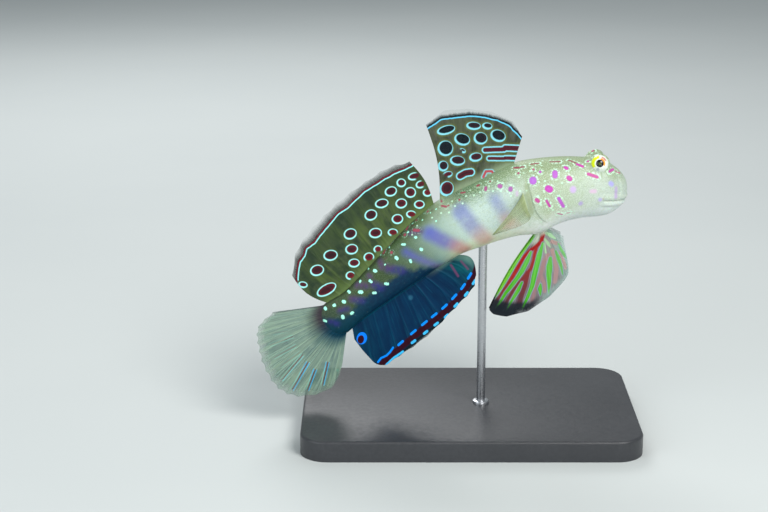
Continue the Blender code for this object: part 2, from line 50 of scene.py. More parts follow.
# Camera, at the photograph's angle and framing
FRAME_WIDTH, FRAME_HEIGHT = 768, 512
FOCAL_PIXELS = 1813
SENSOR_WIDTH = 36.0
ELEVATION = math.radians(16)
AIM = np.array((-24.5, 0.0, 50.5))
DISTANCE = 517.0
FORWARD = np.array((0.0, math.cos(ELEVATION), -math.sin(ELEVATION)))
UPWARD = np.array((0.0, math.sin(ELEVATION), math.cos(ELEVATION)))
VIEWPOINT = AIM - FORWARD * DISTANCE
PIXEL = 0.285                # millimetres that one pixel of the photograph spans on the fish
FAR = 99.0                   # beyond the reach of every marking

# The swimming bend and the body, as in the solids: station, x, z, above, below, half width
SWAY_SLOPE = 0.03
SWAY_CUBE = 2.2e-5
BODY = (
    (0.0, 44.4, 69.7, 8.3, 8.5, 6.6),
    (5.5, 39.0, 69.8, 8.3, 8.5, 6.6),
    (10.8, 33.8, 70.3, 8.4, 8.5, 6.8),
    (16.5, 28.1, 70.2, 9.0, 9.0, 7.3),
    (22.3, 22.5, 69.3, 9.8, 9.6, 7.6),
    (28.2, 16.8, 67.8, 10.6, 10.8, 7.4),
    (34.1, 11.2, 66.1, 10.2, 9.9, 6.9),
    (40.2, 5.5, 63.7, 9.5, 8.9, 6.4),
    (46.4, -0.1, 61.0, 9.5, 8.2, 5.9),
    (52.7, -5.8, 58.2, 9.1, 7.6, 5.4),
    (59.2, -11.4, 54.8, 8.0, 7.5, 4.8),
    (66.2, -17.1, 50.5, 6.9, 7.2, 4.2),
    (72.9, -22.2, 46.2, 6.0, 6.6, 3.7),
    (79.5, -27.1, 41.7, 5.5, 5.7, 3.1),
    (87.0, -32.8, 36.7, 5.0, 4.9, 2.5),
    (93.0, -37.7, 33.0, 5.5, 5.4, 1.9),
    (99.0, -42.3, 29.4, 5.6, 5.5, 0.9),
)
NOSE_LENGTH = 10.8
SECTION_POWER = 2.2
TAIL_START = 93.0
TAIL_ROUND = 4.8
GILL_OPENING, GILL_SLANT = 28.3, 6.5
GILL_TOP, GILL_THROAT, GILL_END = (38, 62), (112, 140), (150, 172)   # angles over which its edge changes
FLAP_RISE, FLAP_STEP, FLAP_OVERHANG, GILL_CREVICE = 0.13, 0.15, 0.05, 0.07

MOUTH_FRONT_Z, MOUTH_CORNER_Z = 67.0, 67.6
MOUTH_FRONT, MOUTH_CORNER = 0.5, 8.0
LIP_RISE, LIP_WIDTH, LIP_SLIT = 0.34, 0.8, 0.22
LIP_CREST, SLIT_WIDTH = 0.95, 0.2          # a lip's ridge lies this far from the slit
UPPER_CREASE, LOWER_CREASE = (2.3, 0.1), (2.0, 0.06)   # distance from the slit, and depth
CREASE_WIDTH = 0.4
LIP_FOLD_DEPTH = 0.3

EYE_X, EYE_Z, EYE_SPREAD = 35.6, 77.7, 3.2
EYE_RADIUS = 2.55
EYE_DOME, EYE_SKIRT = 2.88, 3.9
EYE_AXIS = (-0.19, 0.93, 0.27)
EYE_OPENING = 77.0
EYE_CAP = math.radians(75)   # round part of the dome; a skirt runs on from it to the head
EYE_SKIRT_STRETCH = 1.15
EYE_SOCKET_DEPTH, EYE_LID_RIM, EYE_LID_EDGE = 0.35, 0.12, 3
CORNEA_RISE, PUPIL_RADIUS = 0.14, 1.03
# Coloured arcs about the pupil: radius, width, first and last direction; and two round marks, a painted
# reflection in the pupil and a dark patch below it
EYE_ARCS = {"orange": (1.24, 0.5, -32, 82), "red": (1.78, 0.5, 22, 72), "yellow": (1.9, 0.96, 94, 212)}
EYE_MARKS = {"glint": (-0.05, -0.12), "patch": (-0.6, -1.6)}
EYE_MARK_RADIUS = 0.42

# Nostrils: station, angle and rise of the short tube and of the pore behind it
NOSTRILS = ((3.6, 40.0, 0.6), (6.0, 46.0, 0.0))
NOSTRIL_WIDTH, NOSTRIL_HOLE, NOSTRIL_DEPTH = 0.55, 0.24, 0.35

# Fin tips: place along the base, x, z of the margin
FIRST_DORSAL = (
    (0.0, 14.2, 85.2), (0.2, 11.4, 89.6), (0.4, 5.4, 92.3),
    (0.6, -1.2, 93.2), (0.8, -7.6, 92.7), (1.0, -12.8, 88.8),
)
SECOND_DORSAL = (
    (0.0, -17.4, 78.3), (0.15, -23.6, 76.6), (0.3, -29.8, 72.7), (0.45, -36.0, 68.2),
    (0.6, -41.5, 63.2), (0.75, -46.1, 58.1), (0.9, -49.6, 52.4), (1.0, -50.6, 46.0),
)
ANAL = (
    (0.0, 1.9, 44.8), (0.12, 1.2, 41.0), (0.3, -3.8, 35.1), (0.5, -12.0, 26.5),
    (0.7, -20.0, 20.6), (0.85, -25.4, 17.7), (0.95, -29.8, 21.4), (1.0, -33.0, 26.0),
)
CAUDAL = (
    (0.0, -56.2, 35.5), (0.15, -60.5, 31.2), (0.35, -60.3, 24.2), (0.5, -58.5, 17.9),
    (0.65, -54.8, 12.0), (0.8, -48.7, 9.2), (0.9, -41.3, 10.4), (0.96, -38.2, 13.4), (1.0, -36.6, 18.2),
)
FIRST_DORSAL_BASE = (30.6, 51.6)
SECOND_DORSAL_BASE = (53.2, 92.4)
ANAL_BASE = (56.2, 91.4)
PECTORAL = (
    (0.0, 4.4, 62.7, 21.5), (0.5, 4.9, 61.8, 18.5), (1.0, 8.2, 61.2, 13.0),
)
PECTORAL_STATION = 30.2
PECTORAL_TOP, PECTORAL_BOTTOM = 72.0, 107.0
PECTORAL_STAND_OFF, PECTORAL_DROOP = 4.5, 1.5
PELVIC = (
    (0.0, 5.7, 34.6, 0.9), (0.08, 6.9, 33.2, 1.6), (0.2, 10.6, 33.1, 2.6), (0.4, 16.4, 35.2, 4.4),
    (0.6, 22.3, 39.8, 5.4), (0.8, 27.4, 46.4, 5.0), (1.0, 26.2, 56.7, 2.3),
)
PELVIC_BASE_X = (19.2, 21.6)
PELVIC_BASE_OUT = (0.7, 2.2)
PELVIC_BOW = (-0.8, 0.0, 0.45)   # of its rear edge
PELVIC_UNDER = (GILL_OPENING - 12, GILL_OPENING + 12, 200)   # stations of the belly over it

# Membranes of the render's fins, thinner than the solids'
MEMBRANE, MARGIN = 0.14, 0.06
RAY_HEIGHT, RAY_WIDTH = 0.17, 0.075
RAY_FORK, RAY_SECOND_FORK = 0.17, 0.085   # shares of the gap between rays that their branches spread
FIN_SUNK = 0.7               # how far a fin's root goes into the flesh
FIRST_DORSAL_RAYS, SECOND_DORSAL_RAYS, ANAL_RAYS = 6, 11, 11
CAUDAL_RAYS, PECTORAL_RAYS, PELVIC_RAYS = 15, 15, 6
UNFORKED = 2.0               # place along a ray, beyond its tip

# Stand
BASE_LENGTH, BASE_WIDTH, BASE_THICKNESS = 96.0, 62.0, 6.0
BASE_CORNER, BASE_EDGE = 8.0, 0.8
ROD_X, ROD_RADIUS, ROD_CORE, ROD_SUNK = 3.7, 1.25, 0.3, 0.5
# Collar at the rod's foot: radius, and height over the base
ROD_FOOT = (
    (ROD_CORE, -1.0), (2.3, -1.0), (2.4, 0.5), (2.25, 0.85), (1.9, 1.0), (1.35, 1.0), (ROD_RADIUS, 1.1),
)
ROD_UNDER = (GILL_OPENING, TAIL_START, 400)   # stations of the belly over it


# Curves and the body surface

def interpolate(table, t):
    """Smooth values at t of rows (t, value, ...), through every row."""
    rows, t = np.asarray(table, float), np.asarray(t, float)
    keys, values = rows[:, 0], rows[:, 1:]
    before = np.maximum(np.arange(len(keys)) - 1, 0)
    after = np.minimum(np.arange(len(keys)) + 1, len(keys) - 1)
    slopes = (values[after] - values[before]) / (keys[after] - keys[before])[:, None]
    i = np.clip(np.searchsorted(keys, t, side="right") - 1, 0, len(keys) - 2)
    span = (keys[i + 1] - keys[i])[..., None]
    k = (t - keys[i])[..., None] / span
    a, b = values[i], values[i + 1]
    da, db = slopes[i] * span, slopes[i + 1] * span
    smooth = a + k * (da + k * (3 * (b - a) - 2 * da - db + k * (2 * (a - b) + da + db)))
    return np.moveaxis(smooth, -1, 0)


def smoothstep(low, high, value):
    k = np.clip((value - low) / (high - low), 0.0, 1.0)
    return k * k * (3 - 2 * k)


def bump(value, width):
    return np.exp(-(value / width) ** 2)


def unit(vectors):
    return vectors / np.maximum(np.linalg.norm(vectors, axis=-1, keepdims=True), 1e-9)


def sway(x):
    return SWAY_SLOPE * x + SWAY_CUBE * x ** 3


def left_at(x):
    """Unit vector to the fish's left at a place along it."""
    lean = SWAY_SLOPE + 3 * SWAY_CUBE * x * x
    return unit(np.stack((-lean, np.ones_like(lean), np.zeros_like(lean)), -1))


def median(x, z, out=0.0, side=-1):
    """Points over the median surface, out to one side of it (-1 is the fish's right)."""
    x, z, out = (np.array(a, float) for a in np.broadcast_arrays(x, z, out))
    return np.stack((x, sway(x), z), -1) + left_at(x) * (side * out)[..., None]


def spine(s):
    x, z, above, below, half = interpolate(BODY, s)
    ahead, behind = interpolate(BODY, s - 0.5), interpolate(BODY, s + 0.5)
    forward = unit(median(ahead[0], ahead[1]) - median(behind[0], behind[1]))
    left = left_at(x)
    return median(x, z), forward, left, unit(np.cross(forward, left)), above, below, half


def taper(s):
    """Share of the full section left at the rounded snout and at the tail root."""
    nose = np.sqrt(np.maximum(0.0, 1 - (np.maximum(NOSE_LENGTH - s, 0) / NOSE_LENGTH) ** 2))
    tail = np.sqrt(np.maximum(0.0, 1 - (np.maximum(s - TAIL_START, 0) / TAIL_ROUND) ** 2))
    return nose * tail


def slanted(s, angle):
    """Station of a ring's point: rings near the gill opening run forward at the throat."""
    round_angle = np.abs((angle + 180) % 360 - 180)
    near = smoothstep(12, GILL_OPENING, s) * (1 - smoothstep(GILL_OPENING, 46, s))
    return s - GILL_SLANT * near * smoothstep(95, 180, round_angle)


def skin(s, angle, lift=0.0):
    """Points of the plain body at a station and an angle from the back, over the fish's right."""
    s, angle, lift = (np.array(a, float) for a in np.broadcast_arrays(s, angle, lift))
    s = slanted(s, angle)
    centre, _, left, up, above, below, half = spine(s)
    c, w = np.cos(np.radians(angle)), np.sin(np.radians(angle))
    rise = np.sign(c) * np.abs(c) ** (2 / SECTION_POWER) * np.where(c > 0, above, below)
    out = np.sign(w) * np.abs(w) ** (2 / SECTION_POWER) * half
    offset = up * rise[..., None] - left * out[..., None]
    outward = up * (rise / above ** 2)[..., None] - left * (out / half ** 2)[..., None]
    return centre + offset * taper(s)[..., None] + unit(outward) * lift[..., None]


def mouth_angle(s):
    """Angle from the back at which the mouth line crosses the ring at a station."""
    _, z, _, below, _ = interpolate(BODY, s)
    along = (s - MOUTH_FRONT) / (MOUTH_CORNER - MOUTH_FRONT)
    height = MOUTH_FRONT_Z + (MOUTH_CORNER_Z - MOUTH_FRONT_Z) * along
    share = np.clip((z - height) / (below * np.maximum(taper(s), 0.05)), 0.0, 1.0)
    return 180 - np.degrees(np.arccos(share ** (SECTION_POWER / 2)))


def eye_centre(side):
    return median(EYE_X, EYE_Z, EYE_SPREAD, side)


def eye_frame(side):
    """Unit vectors along an eye's axis, forward across it and up across it."""
    left = left_at(np.array(EYE_X, float))
    ahead = np.array((left[1], -left[0], 0.0))
    forward, outward, up = EYE_AXIS
    axis = unit(ahead * forward + left * side * outward + np.array((0.0, 0.0, up)))
    across = unit(ahead - axis * (ahead @ axis))
    upward = unit(np.cross(across, axis) * side)
    return axis, across, upward


# Markings

def photo(points):
    """Pixel column and row at which points in millimetres show in the photograph's frame."""
    ray = points - VIEWPOINT
    depth = ray @ FORWARD
    column = FRAME_WIDTH / 2 + FOCAL_PIXELS * ray[..., 0] / depth
    row = FRAME_HEIGHT / 2 - FOCAL_PIXELS * (ray @ UPWARD) / depth
    return np.stack((column, row), axis=-1)


def unphoto(spot, depth):
    """Point at a depth from the camera that shows at a column and row of the photograph."""
    across = (spot[0] - FRAME_WIDTH / 2) / FOCAL_PIXELS
    rise = (FRAME_HEIGHT / 2 - spot[1]) / FOCAL_PIXELS
    return VIEWPOINT + depth * (FORWARD + np.array((across, 0.0, 0.0)) + rise * UPWARD)


def project(where, a, b):
    """Share run along a line at the spot nearest to each place, and the way from there to the place."""
    along = b - a
    t = np.clip(((where - a) @ along) / max(along @ along, 1e-9), 0.0, 1.0)
    return t, where - a - t[..., None] * along


def stroke_distance(where, points, width):
    """Distance to a stroke through points, below zero inside it, and the share run along it."""
    points = np.asarray(points, float)
    ends = points[1:] if len(points) > 1 else points
    best, run = np.full(where.shape[:-1], np.inf), np.zeros(where.shape[:-1])
    for k, (a, b) in enumerate(zip(points, ends)):
        t, way = project(where, a, b)
        away = np.linalg.norm(way, axis=-1)
        run = np.where(away < best, (k + t) / len(ends), run)
        best = np.minimum(best, away)
    return best - width / 2, run


def nearest_stroke(where, strokes):
    """Distance to the nearest of strokes (width, point, ...), below zero inside it."""
    best = np.full(where.shape[:-1], np.inf)
    for width, *points in strokes:
        best = np.minimum(best, stroke_distance(where, points, width)[0])
    return best


def ellipse_distance(where, centre, size, tilt):
    """Distance to an ellipse's edge, below zero inside it."""
    c, s = math.cos(math.radians(tilt)), math.sin(math.radians(tilt))
    dx, dy = where[..., 0] - centre[0], where[..., 1] - centre[1]
    p = np.stack((dx * c + dy * s, dy * c - dx * s), -1)
    half = np.maximum(np.asarray(size, float) / 2, 0.3)
    k0 = np.linalg.norm(p / half, axis=-1)
    k1 = np.maximum(np.linalg.norm(p / half ** 2, axis=-1), 1e-6)
    return k0 * (k0 - 1) / k1


RING_WIDTH = 1.3             # pixels


def eyespots(where, spots, shift):
    """Distances to the nearest ringed spot's core and ring, and how much of its ring is there.

    A spot is (column, row, width, height, tilt, side of a gap in its ring or None, redness). Its
    dark core sits off the ring's centre by the shift.
    """
    core, ring = (np.full(where.shape[:-1], FAR) for _ in range(2))
    there, red = np.ones(where.shape[:-1]), np.zeros(where.shape[:-1])
    for column, row, width, height, tilt, gap, redness in spots:
        outer = ellipse_distance(where, (column, row), (width + 0.6, height + 0.6), tilt)
        inner = ellipse_distance(where, (column + shift[0], row + shift[1]),
                                 (width + 0.6 - 2 * RING_WIDTH, height + 0.6 - 2 * RING_WIDTH), tilt)
        here = np.ones(where.shape[:-1])
        if gap is not None:
            way = np.arctan2(row - where[..., 1], where[..., 0] - column)
            here = 1 - smoothstep(0.25, 0.75, np.cos(way - math.radians(gap)))
        nearer = outer < ring
        there, red = np.where(nearer, here, there), np.where(nearer, redness, red)
        core, ring = np.where(nearer, inner, core), np.where(nearer, outer, ring)
    return core, ring, there, red


def ribbons(where, strokes):
    """Distance to the nearest of strokes through points (column, row, width), below zero inside it."""
    best = np.full(where.shape[:-1], np.inf)
    for points in strokes:
        points = np.asarray(points, float)
        for a, b in zip(points, points[1:]):
            t, way = project(where, a[:2], b[:2])
            best = np.minimum(best, np.linalg.norm(way, axis=-1) - (a[2] + (b[2] - a[2]) * t) / 2)
    return best


def line_side(where, points):
    """Distance from a line through points, above zero on the outer side of its direction."""
    points = np.asarray(points, float)
    best, side = np.full(where.shape[:-1], np.inf), np.ones(where.shape[:-1])
    for a, b in zip(points, points[1:]):
        away = np.linalg.norm(project(where, a, b)[1], axis=-1)
        along = b - a
        turn = np.sign(along[0] * (where[..., 1] - a[1]) - along[1] * (where[..., 0] - a[0]))
        side = np.where(away < best - 1e-6, turn, side)
        best = np.minimum(best, away)
    return best * side


def dashes(points, length, width):
    """Short strokes centred on points and lying along the line through them."""
    points = np.asarray(points, float)
    strokes = []
    for k, point in enumerate(points):
        along = unit(points[min(k + 1, len(points) - 1)] - points[max(k - 1, 0)]) * length / 2
        strokes.append((width, point - along, point + along))
    return strokes


# Meshes

def grid_quads(index):
    """Quads of a grid of point numbers."""
    return np.stack((index[:-1, :-1], index[1:, :-1], index[1:, 1:], index[:-1, 1:]), -1).reshape(-1, 4)


def grid_map(u, v):
    """Bake map of a grid's quads."""
    u, v = np.meshgrid(u, v, indexing="ij")
    plot = np.stack((u, v), -1)
    corners = (plot[:-1, :-1], plot[1:, :-1], plot[1:, 1:], plot[:-1, 1:])
    return np.stack(corners, -2).reshape(-1, 2)


def grid_normals(points, closed):
    """Unit normals of a grid, across first over second direction."""
    first = np.gradient(points, axis=0)
    if closed:
        second = np.roll(points, -1, axis=1) - np.roll(points, 1, axis=1)
    else:
        second = np.gradient(points, axis=1)
    return unit(np.cross(first, second))


def build(name, points, quads, triangles, plot, fields, material, slot, *nodes):
    """One piece of the model from arrays, which rides on the body in place of CAD nodes."""
    mesh = bpy.data.meshes.new(name)
    mesh.vertices.add(len(points))
    mesh.vertices.foreach_set("co", (points * MM).ravel())
    loops = np.concatenate((quads.ravel(), triangles.ravel()))
    starts = np.concatenate((np.arange(len(quads)) * 4, quads.size + np.arange(len(triangles)) * 3))
    mesh.loops.add(len(loops))
    mesh.loops.foreach_set("vertex_index", loops)
    mesh.polygons.add(len(starts))
    mesh.polygons.foreach_set("loop_start", starts)
    mesh.update(calc_edges=True)
    mesh.uv_layers.new(name="OFBake").data.foreach_set("uv", np.ascontiguousarray(plot).ravel())
    for field, values in fields.items():
        kind, key = ("FLOAT_VECTOR", "vector") if values.ndim == 2 else ("FLOAT", "value")
        layer = mesh.attributes.new(field, kind, "POINT")
        layer.data.foreach_set(key, np.ascontiguousarray(values, np.float32).ravel())
    mesh.validate()
    mesh.shade_smooth()
    mesh.materials.append(material)
    piece = bpy.data.objects.new(name, mesh)
    bpy.context.scene.collection.objects.link(piece)
    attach(piece, "root")
    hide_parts(*nodes)
    return piece


def build_round(name, rings, first, last, fields, material, slot, *nodes):
    """A closed piece through rings of points, with a point at each end.

    Each field is a grid over the rings; its ends take the mean of the ring beside them.
    """
    count, around = rings.shape[:2]
    index = np.arange(count * around).reshape(count, around)
    closed = np.concatenate((index, index[:, :1]), axis=1)
    points = np.concatenate((rings.reshape(-1, 3), [first, last]))
    ring_a, ring_b = closed[0], closed[-1]
    tip, end = np.full(around, count * around), np.full(around, count * around + 1)
    triangles = np.concatenate((np.stack((tip, ring_a[:-1], ring_a[1:]), -1),
                                np.stack((ring_b[:-1], end, ring_b[1:]), -1)))
    turn = np.linspace(0.01, 0.99, around + 1)
    plot = [grid_map(np.linspace(0.02, 0.98, count), turn)]
    for edge, beyond, order in ((0.02, 0.01, (1, 0, 0)), (0.98, 0.99, (0, 1, 0))):
        across = np.array([beyond if o else edge for o in order])
        around_it = np.stack((turn[:-1], turn[:-1], turn[1:]), -1)
        plot.append(np.stack((np.broadcast_to(across, around_it.shape), around_it), -1).reshape(-1, 2))
    whole = {}
    for field, values in fields.items():
        flat = values.reshape(count * around, *values.shape[2:])
        ends = np.stack((values[0].mean(axis=0), values[-1].mean(axis=0)))
        whole[field] = np.concatenate((flat, ends))
    return build(name, points, grid_quads(closed), triangles, np.concatenate(plot), whole, material,
                 slot, *nodes)


def build_sheet(name, middle, thickness, fields, material, slot, *nodes):
    """A closed thin piece with a grid of points down its middle."""
    rows, columns = middle.shape[:2]
    normals = grid_normals(middle, False)
    half = normals * thickness[..., None] / 2
    front = np.arange(rows * columns).reshape(rows, columns)
    rim = np.concatenate((front[0, :-1], front[:-1, -1], front[-1, :0:-1], front[::-1, 0]))
    back = rows * columns
    border = np.stack((rim[:-1], rim[1:], rim[1:] + back, rim[:-1] + back), -1)
    quads = np.concatenate((grid_quads(front), grid_quads(front + back)[:, ::-1], border))
    u, v = np.linspace(0.01, 0.49, rows), np.linspace(0.01, 0.99, columns)
    front_map = grid_map(u, v)
    back_map = grid_map(u + 0.5, v).reshape(-1, 4, 2)[:, ::-1].reshape(-1, 2)
    spot = np.stack(np.meshgrid(u, v, indexing="ij"), -1).reshape(-1, 2)
    rim_map = np.stack((spot[rim[:-1]], spot[rim[1:]], spot[rim[1:]], spot[rim[:-1]]), 1).reshape(-1, 2)
    points = np.concatenate(((middle + half).reshape(-1, 3), (middle - half).reshape(-1, 3)))
    both = {}
    for field, values in fields.items():
        flat = values.reshape(rows * columns, *values.shape[2:])
        both[field] = np.concatenate((flat, flat))
    plot = np.concatenate((front_map, back_map, rim_map))
    return build(name, points, quads, np.zeros((0, 3), int), plot, both, material, slot, *nodes)


# Materials

def srgb(*colour):
    """Linear colour from the 0 to 255 values of a screen colour."""
    share = np.array(colour) / 255
    return (*np.where(share < 0.04, share / 12.92, ((share + 0.055) / 1.055) ** 2.4), 1.0)


class Finish:
    """A node material made by short calls, whose coats of colour lie over one another.

    A name stands for a field of the mesh, and a colour is its three values from 0 to 255.
    """

    def __init__(self, name, roughness=0.4, **constants):
        self.material = bpy.data.materials.new(name)
        self.material.use_nodes = True
        self.tree = self.material.node_tree
        self.shader = self.tree.nodes["Principled BSDF"]
        self.base = None
        for socket, value in dict(constants, Roughness=roughness).items():
            self.shader.inputs[socket.replace("_", " ")].default_value = value

    def node(self, kind, settings=(), **sockets):
        node = self.tree.nodes.new("ShaderNode" + kind)
        for name, value in dict(settings).items():
            setattr(node, name, value)
        for name, value in sockets.items():
            self.put(node.inputs[name.replace("_", " ")], value)
        return node

    def put(self, socket, value):
        """Link an output or a named field into a socket, or set the socket's own value."""
        if isinstance(value, str):
            value = self.node("Attribute", {"attribute_name": value}).outputs["Fac"]
        if isinstance(value, bpy.types.NodeSocket):
            self.tree.links.new(value, socket)
        else:
            socket.default_value = srgb(*value) if isinstance(value, tuple) else value

    def place(self, name):
        return self.node("Attribute", {"attribute_name": name}).outputs["Vector"]

    def step(self, value, low, high, start=0.0, end=1.0):
        node = self.node("MapRange", {"interpolation_type": "SMOOTHSTEP"}, Value=value, From_Min=low,
                         From_Max=high, To_Min=start, To_Max=end)
        return node.outputs[0]

    def calc(self, operation, a, b=0.0):
        node = self.node("Math", {"operation": operation})
        self.put(node.inputs[0], a)
        self.put(node.inputs[1], b)
        return node.outputs[0]

    def add(self, a, b):
        return self.calc("ADD", a, b)

    def times(self, *values):
        result = values[0]
        for value in values[1:]:
            result = self.calc("MULTIPLY", result, value)
        return result

    def swing(self, noise, width):
        """A noise shifted to swing about zero."""
        return self.times(self.calc("SUBTRACT", noise, 0.5), width)

    def mix(self, share, a, b):
        node = self.node("Mix", {"data_type": "RGBA"})
        for index, value in ((0, share), (6, a), (7, b)):
            self.put(node.inputs[index], value)
        return node.outputs[2]

    def coat(self, colour, value, low=None, high=None, most=1.0):
        """Lay a colour on by a share, or where a value runs from low to high."""
        share = value if low is None else self.step(value, low, high, 0.0, most)
        self.base = self.mix(share, self.base, colour)

    def ramp(self, value, *stops):
        node = self.node("ValToRGB", Fac=value)
        elements = node.color_ramp.elements
        while len(elements) < len(stops):
            elements.new(0.5)
        for element, (place, colour) in zip(elements, stops):
            element.position = place
            element.color = srgb(*colour)
        return node.outputs["Color"]

    def noise(self, where, scale, detail=3.0):
        return self.node("TexNoise", Vector=where, Scale=scale, Detail=detail).outputs[0]

    def cells(self, where, scale, randomness=1.0):
        node = self.node("TexVoronoi", Vector=where, Scale=scale, Randomness=randomness)
        return node.outputs["Distance"]

    def streaks(self, across, lengthwise):
        """Noise drawn out along a fin's rays."""
        place = self.node("CombineXYZ", X=self.times("along", across), Y=self.times("height", lengthwise))
        return self.noise(place.outputs[0], 1.0)

    def stretch(self, where, x, y, z=1.0):
        node = self.node("Mapping", Vector=where)
        node.inputs["Scale"].default_value = (x, y, z)
        return node.outputs["Vector"]

    def relief(self, height, distance, strength):
        """Bumps of a height in millimetres."""
        node = self.node("Bump", Height=height, Distance=distance * MM, Strength=strength)
        self.put(self.shader.inputs["Normal"], node.outputs["Normal"])

    def done(self, **sockets):
        """The material, once its colour and other values are linked to the shader."""
        for name, value in dict(sockets, Base_Color=self.base).items():
            self.put(self.shader.inputs[name.replace("_", " ")], value)
        return self.material


# Skin: one closed surface over head, gill covers, trunk and tail

AROUND = 384

MARK_STEP = 3.0              # pixels between the points at which a stroke is laid on the skin
MARK_SLACK = 0.7             # pixels by which such a point may miss the skin's own
# Spots and dashes of the head and back: width, hue from 0 (violet) over magenta to 1 (dark red), then
# points of the photograph
SPOTS = (
    (7.2, 0.36, (533, 180), (533, 181)), (6.8, 0.54, (548.2, 188.6), (549.7, 189.4)),
    (5.4, 0.4, (555, 172.6), (555, 175.8)), (3.6, 0.55, (565.3, 167.3), (567, 168.2)),
    (5, 0.6, (568.7, 177.8), (570, 178.9)), (3.8, 0.66, (536.6, 199.8), (538.2, 201.2)),
    (2.6, 0.6, (546.6, 200.8), (549.8, 206.4)), (3.5, 0.42, (558.7, 198.5), (563.4, 206.5)),
    (3.2, 0.6, (577.2, 163.8), (582.6, 166.2)), (2.8, 0.62, (587.8, 161)),
    (3.6, 0.66, (588.4, 174), (597.2, 176.9)), (2.8, 0.6, (609.8, 171.4), (613.6, 168.9)),
    (2.2, 0.74, (616.4, 171.2), (620.2, 172.8)), (2.2, 0.78, (592.2, 151), (593.6, 150)),
    (4.6, 0.3, (510.5, 188.6), (510.5, 189.6)), (4.4, 0.5, (499.5, 186), (500.4, 186.3)),
    (3.2, 0.62, (485.6, 187.4), (485.6, 189.6)), (3.4, 0.96, (477.4, 185.2), (478.4, 184.8)),
    (2.4, 0.9, (490, 181)), (3, 0.45, (540.2, 171.7)), (2.8, 0.74, (518.3, 173)),
    (2.4, 0.7, (533.5, 169.2)), (2.2, 0.95, (531, 163.8), (538.4, 162.8)),
    (2.2, 0.95, (550.4, 161.4), (560, 161.2)), (2.2, 0.92, (568.8, 159.8), (575.4, 162.2)),
    (2.8, 0.92, (514.2, 167.4), (518.2, 167.4)), (2.2, 0.92, (520.6, 166.9), (523.6, 166.4)),
    (1.6, 0.78, (558, 213.8), (562.4, 214.8)), (1.3, 0.78, (566.8, 213.4), (569.8, 213)),
    (2.4, 0.9, (460.6, 188.6), (462.8, 185.4)), (2.6, 0.88, (461, 192.4), (464.4, 192)),
    (2.6, 0.9, (440.6, 199.4), (441.4, 201.4)), (2.2, 0.92, (448.4, 205.4)), (2.6, 0.85, (459.4, 199.6)),
    (2.4, 0.86, (441.6, 205.6), (446, 206.6)), (2.8, 0.85, (427.4, 211.2)),
    (3, 0.95, (406, 229), (407.4, 226.4)), (2.6, 0.88, (416, 219.6)), (3.2, 0.86, (404.6, 234.6)),
    (3.2, 0.94, (414, 230), (418.4, 230.4)), (3.2, 0.94, (391.4, 252.4)),
    (2.6, 0.92, (389.6, 243.4), (391, 240.6)), (3, 0.95, (383, 252.6), (384.6, 249.4)),
)
# Pale spots of the cheek and snout: width, tint from 0 (pink) over mauve to 1 (blue)
LAVENDER_SPOTS = (
    (7, 0.4, (573, 189.2), (573.2, 190)), (5.2, 0.8, (580.8, 203.6)),
    (4.6, 0, (591.6, 191.3), (595, 191.3)), (4.4, 0.9, (600.2, 199.8)),
    (5.6, 1, (610.8, 183.4), (612, 184.2)), (4.2, 0.7, (616.4, 188), (616, 197.2)),
    (2.8, 0.2, (517, 192), (517, 195)),
)
# Root of the pectoral fin, seen as a shade behind the gill cover
PECTORAL_SHADE = ((6, (526.5, 186), (527.5, 192)), (8, (527.5, 195), (530, 204), (531, 212)))
# Fold that runs round the front of the lips, and a small mark behind their corner
LIP_FOLD = ((1.0, (617.6, 176), (620, 182), (620.8, 190), (619.6, 198.4)),)
MOUTH_CORNER_SPOT = ((2.6, (603.6, 199.2)),)
# Bright dots and short dashes of the rear body, from edge to edge
CYAN_DOTS = (
    (3.6, (342.4, 301.2), (345.3, 302.2)), (3.8, (334, 305.5), (334.6, 305.2)),
    (3.6, (324.6, 307.6), (325.8, 309.4)), (3, (347.3, 289.9), (350.3, 293.3)),
    (4, (358.7, 291.9), (362.6, 292.4)), (3.2, (372.5, 292.8), (376.5, 293.1)),
    (2.6, (360, 280), (360, 282.5)), (3, (369, 280), (372, 282.5)), (3.4, (384.4, 283.5), (388.8, 284.3)),
    (2.4, (368, 267.8), (368.2, 269.2)), (3.6, (373.5, 270.1), (376.5, 271.6)), (2, (385, 264.7)),
    (3.6, (395.2, 256.8), (397.7, 259.2)), (2.8, (409.6, 259.2), (411.5, 263.2)),
    (3.6, (420.8, 248.9), (422, 250)), (2.6, (400.7, 244.4), (406.1, 244.4)),
    (2.6, (380.1, 252.8), (380.1, 255.3)), (2.2, (389, 246.4), (389, 247.6)),
    (2.2, (393.3, 237), (395.2, 238)), (2, (399.7, 234)), (2.4, (407, 232.6), (408.4, 231.4)),
    (3, (415.2, 237.2), (416, 237.6)), (2.2, (411.4, 223.4), (412.8, 223)), (2.2, (422.2, 219.7)),
    (2, (436, 208.9)), (2, (436, 221.2)), (1.8, (423.6, 212.8)), (1.8, (430.3, 212.8)),
    (3.2, (322.6, 320.3), (327, 321.8)), (3.8, (342.4, 315.5), (343.2, 318.8)),
    (3.6, (351, 314), (353, 312.6)),
)
# Fine dots of the nape and upper back
MINT_DOTS = (
    (485.5, 181), (492.5, 177), (497.5, 181), (503, 183), (501, 191), (511, 185), (519, 177), (520, 191),
    (511, 196), (539, 182), (538, 196), (470, 190), (466, 196), (474, 195), (452, 201), (446, 196),
    (455, 206), (480, 192), (493, 191), (489, 186), (530, 171), (545, 181), (562, 183), (541, 205),
    (553, 210), (417, 225.6), (449, 212.4), (432, 217.6), (441, 213), (462.6, 203.4), (412, 234.6),
    (400, 227),
)
MINT_DOT_WIDTH = 2.1
DOT_WIDTH, DOT_LENGTH = 0.9, 0.45   # shares kept of a bright dot's width and length
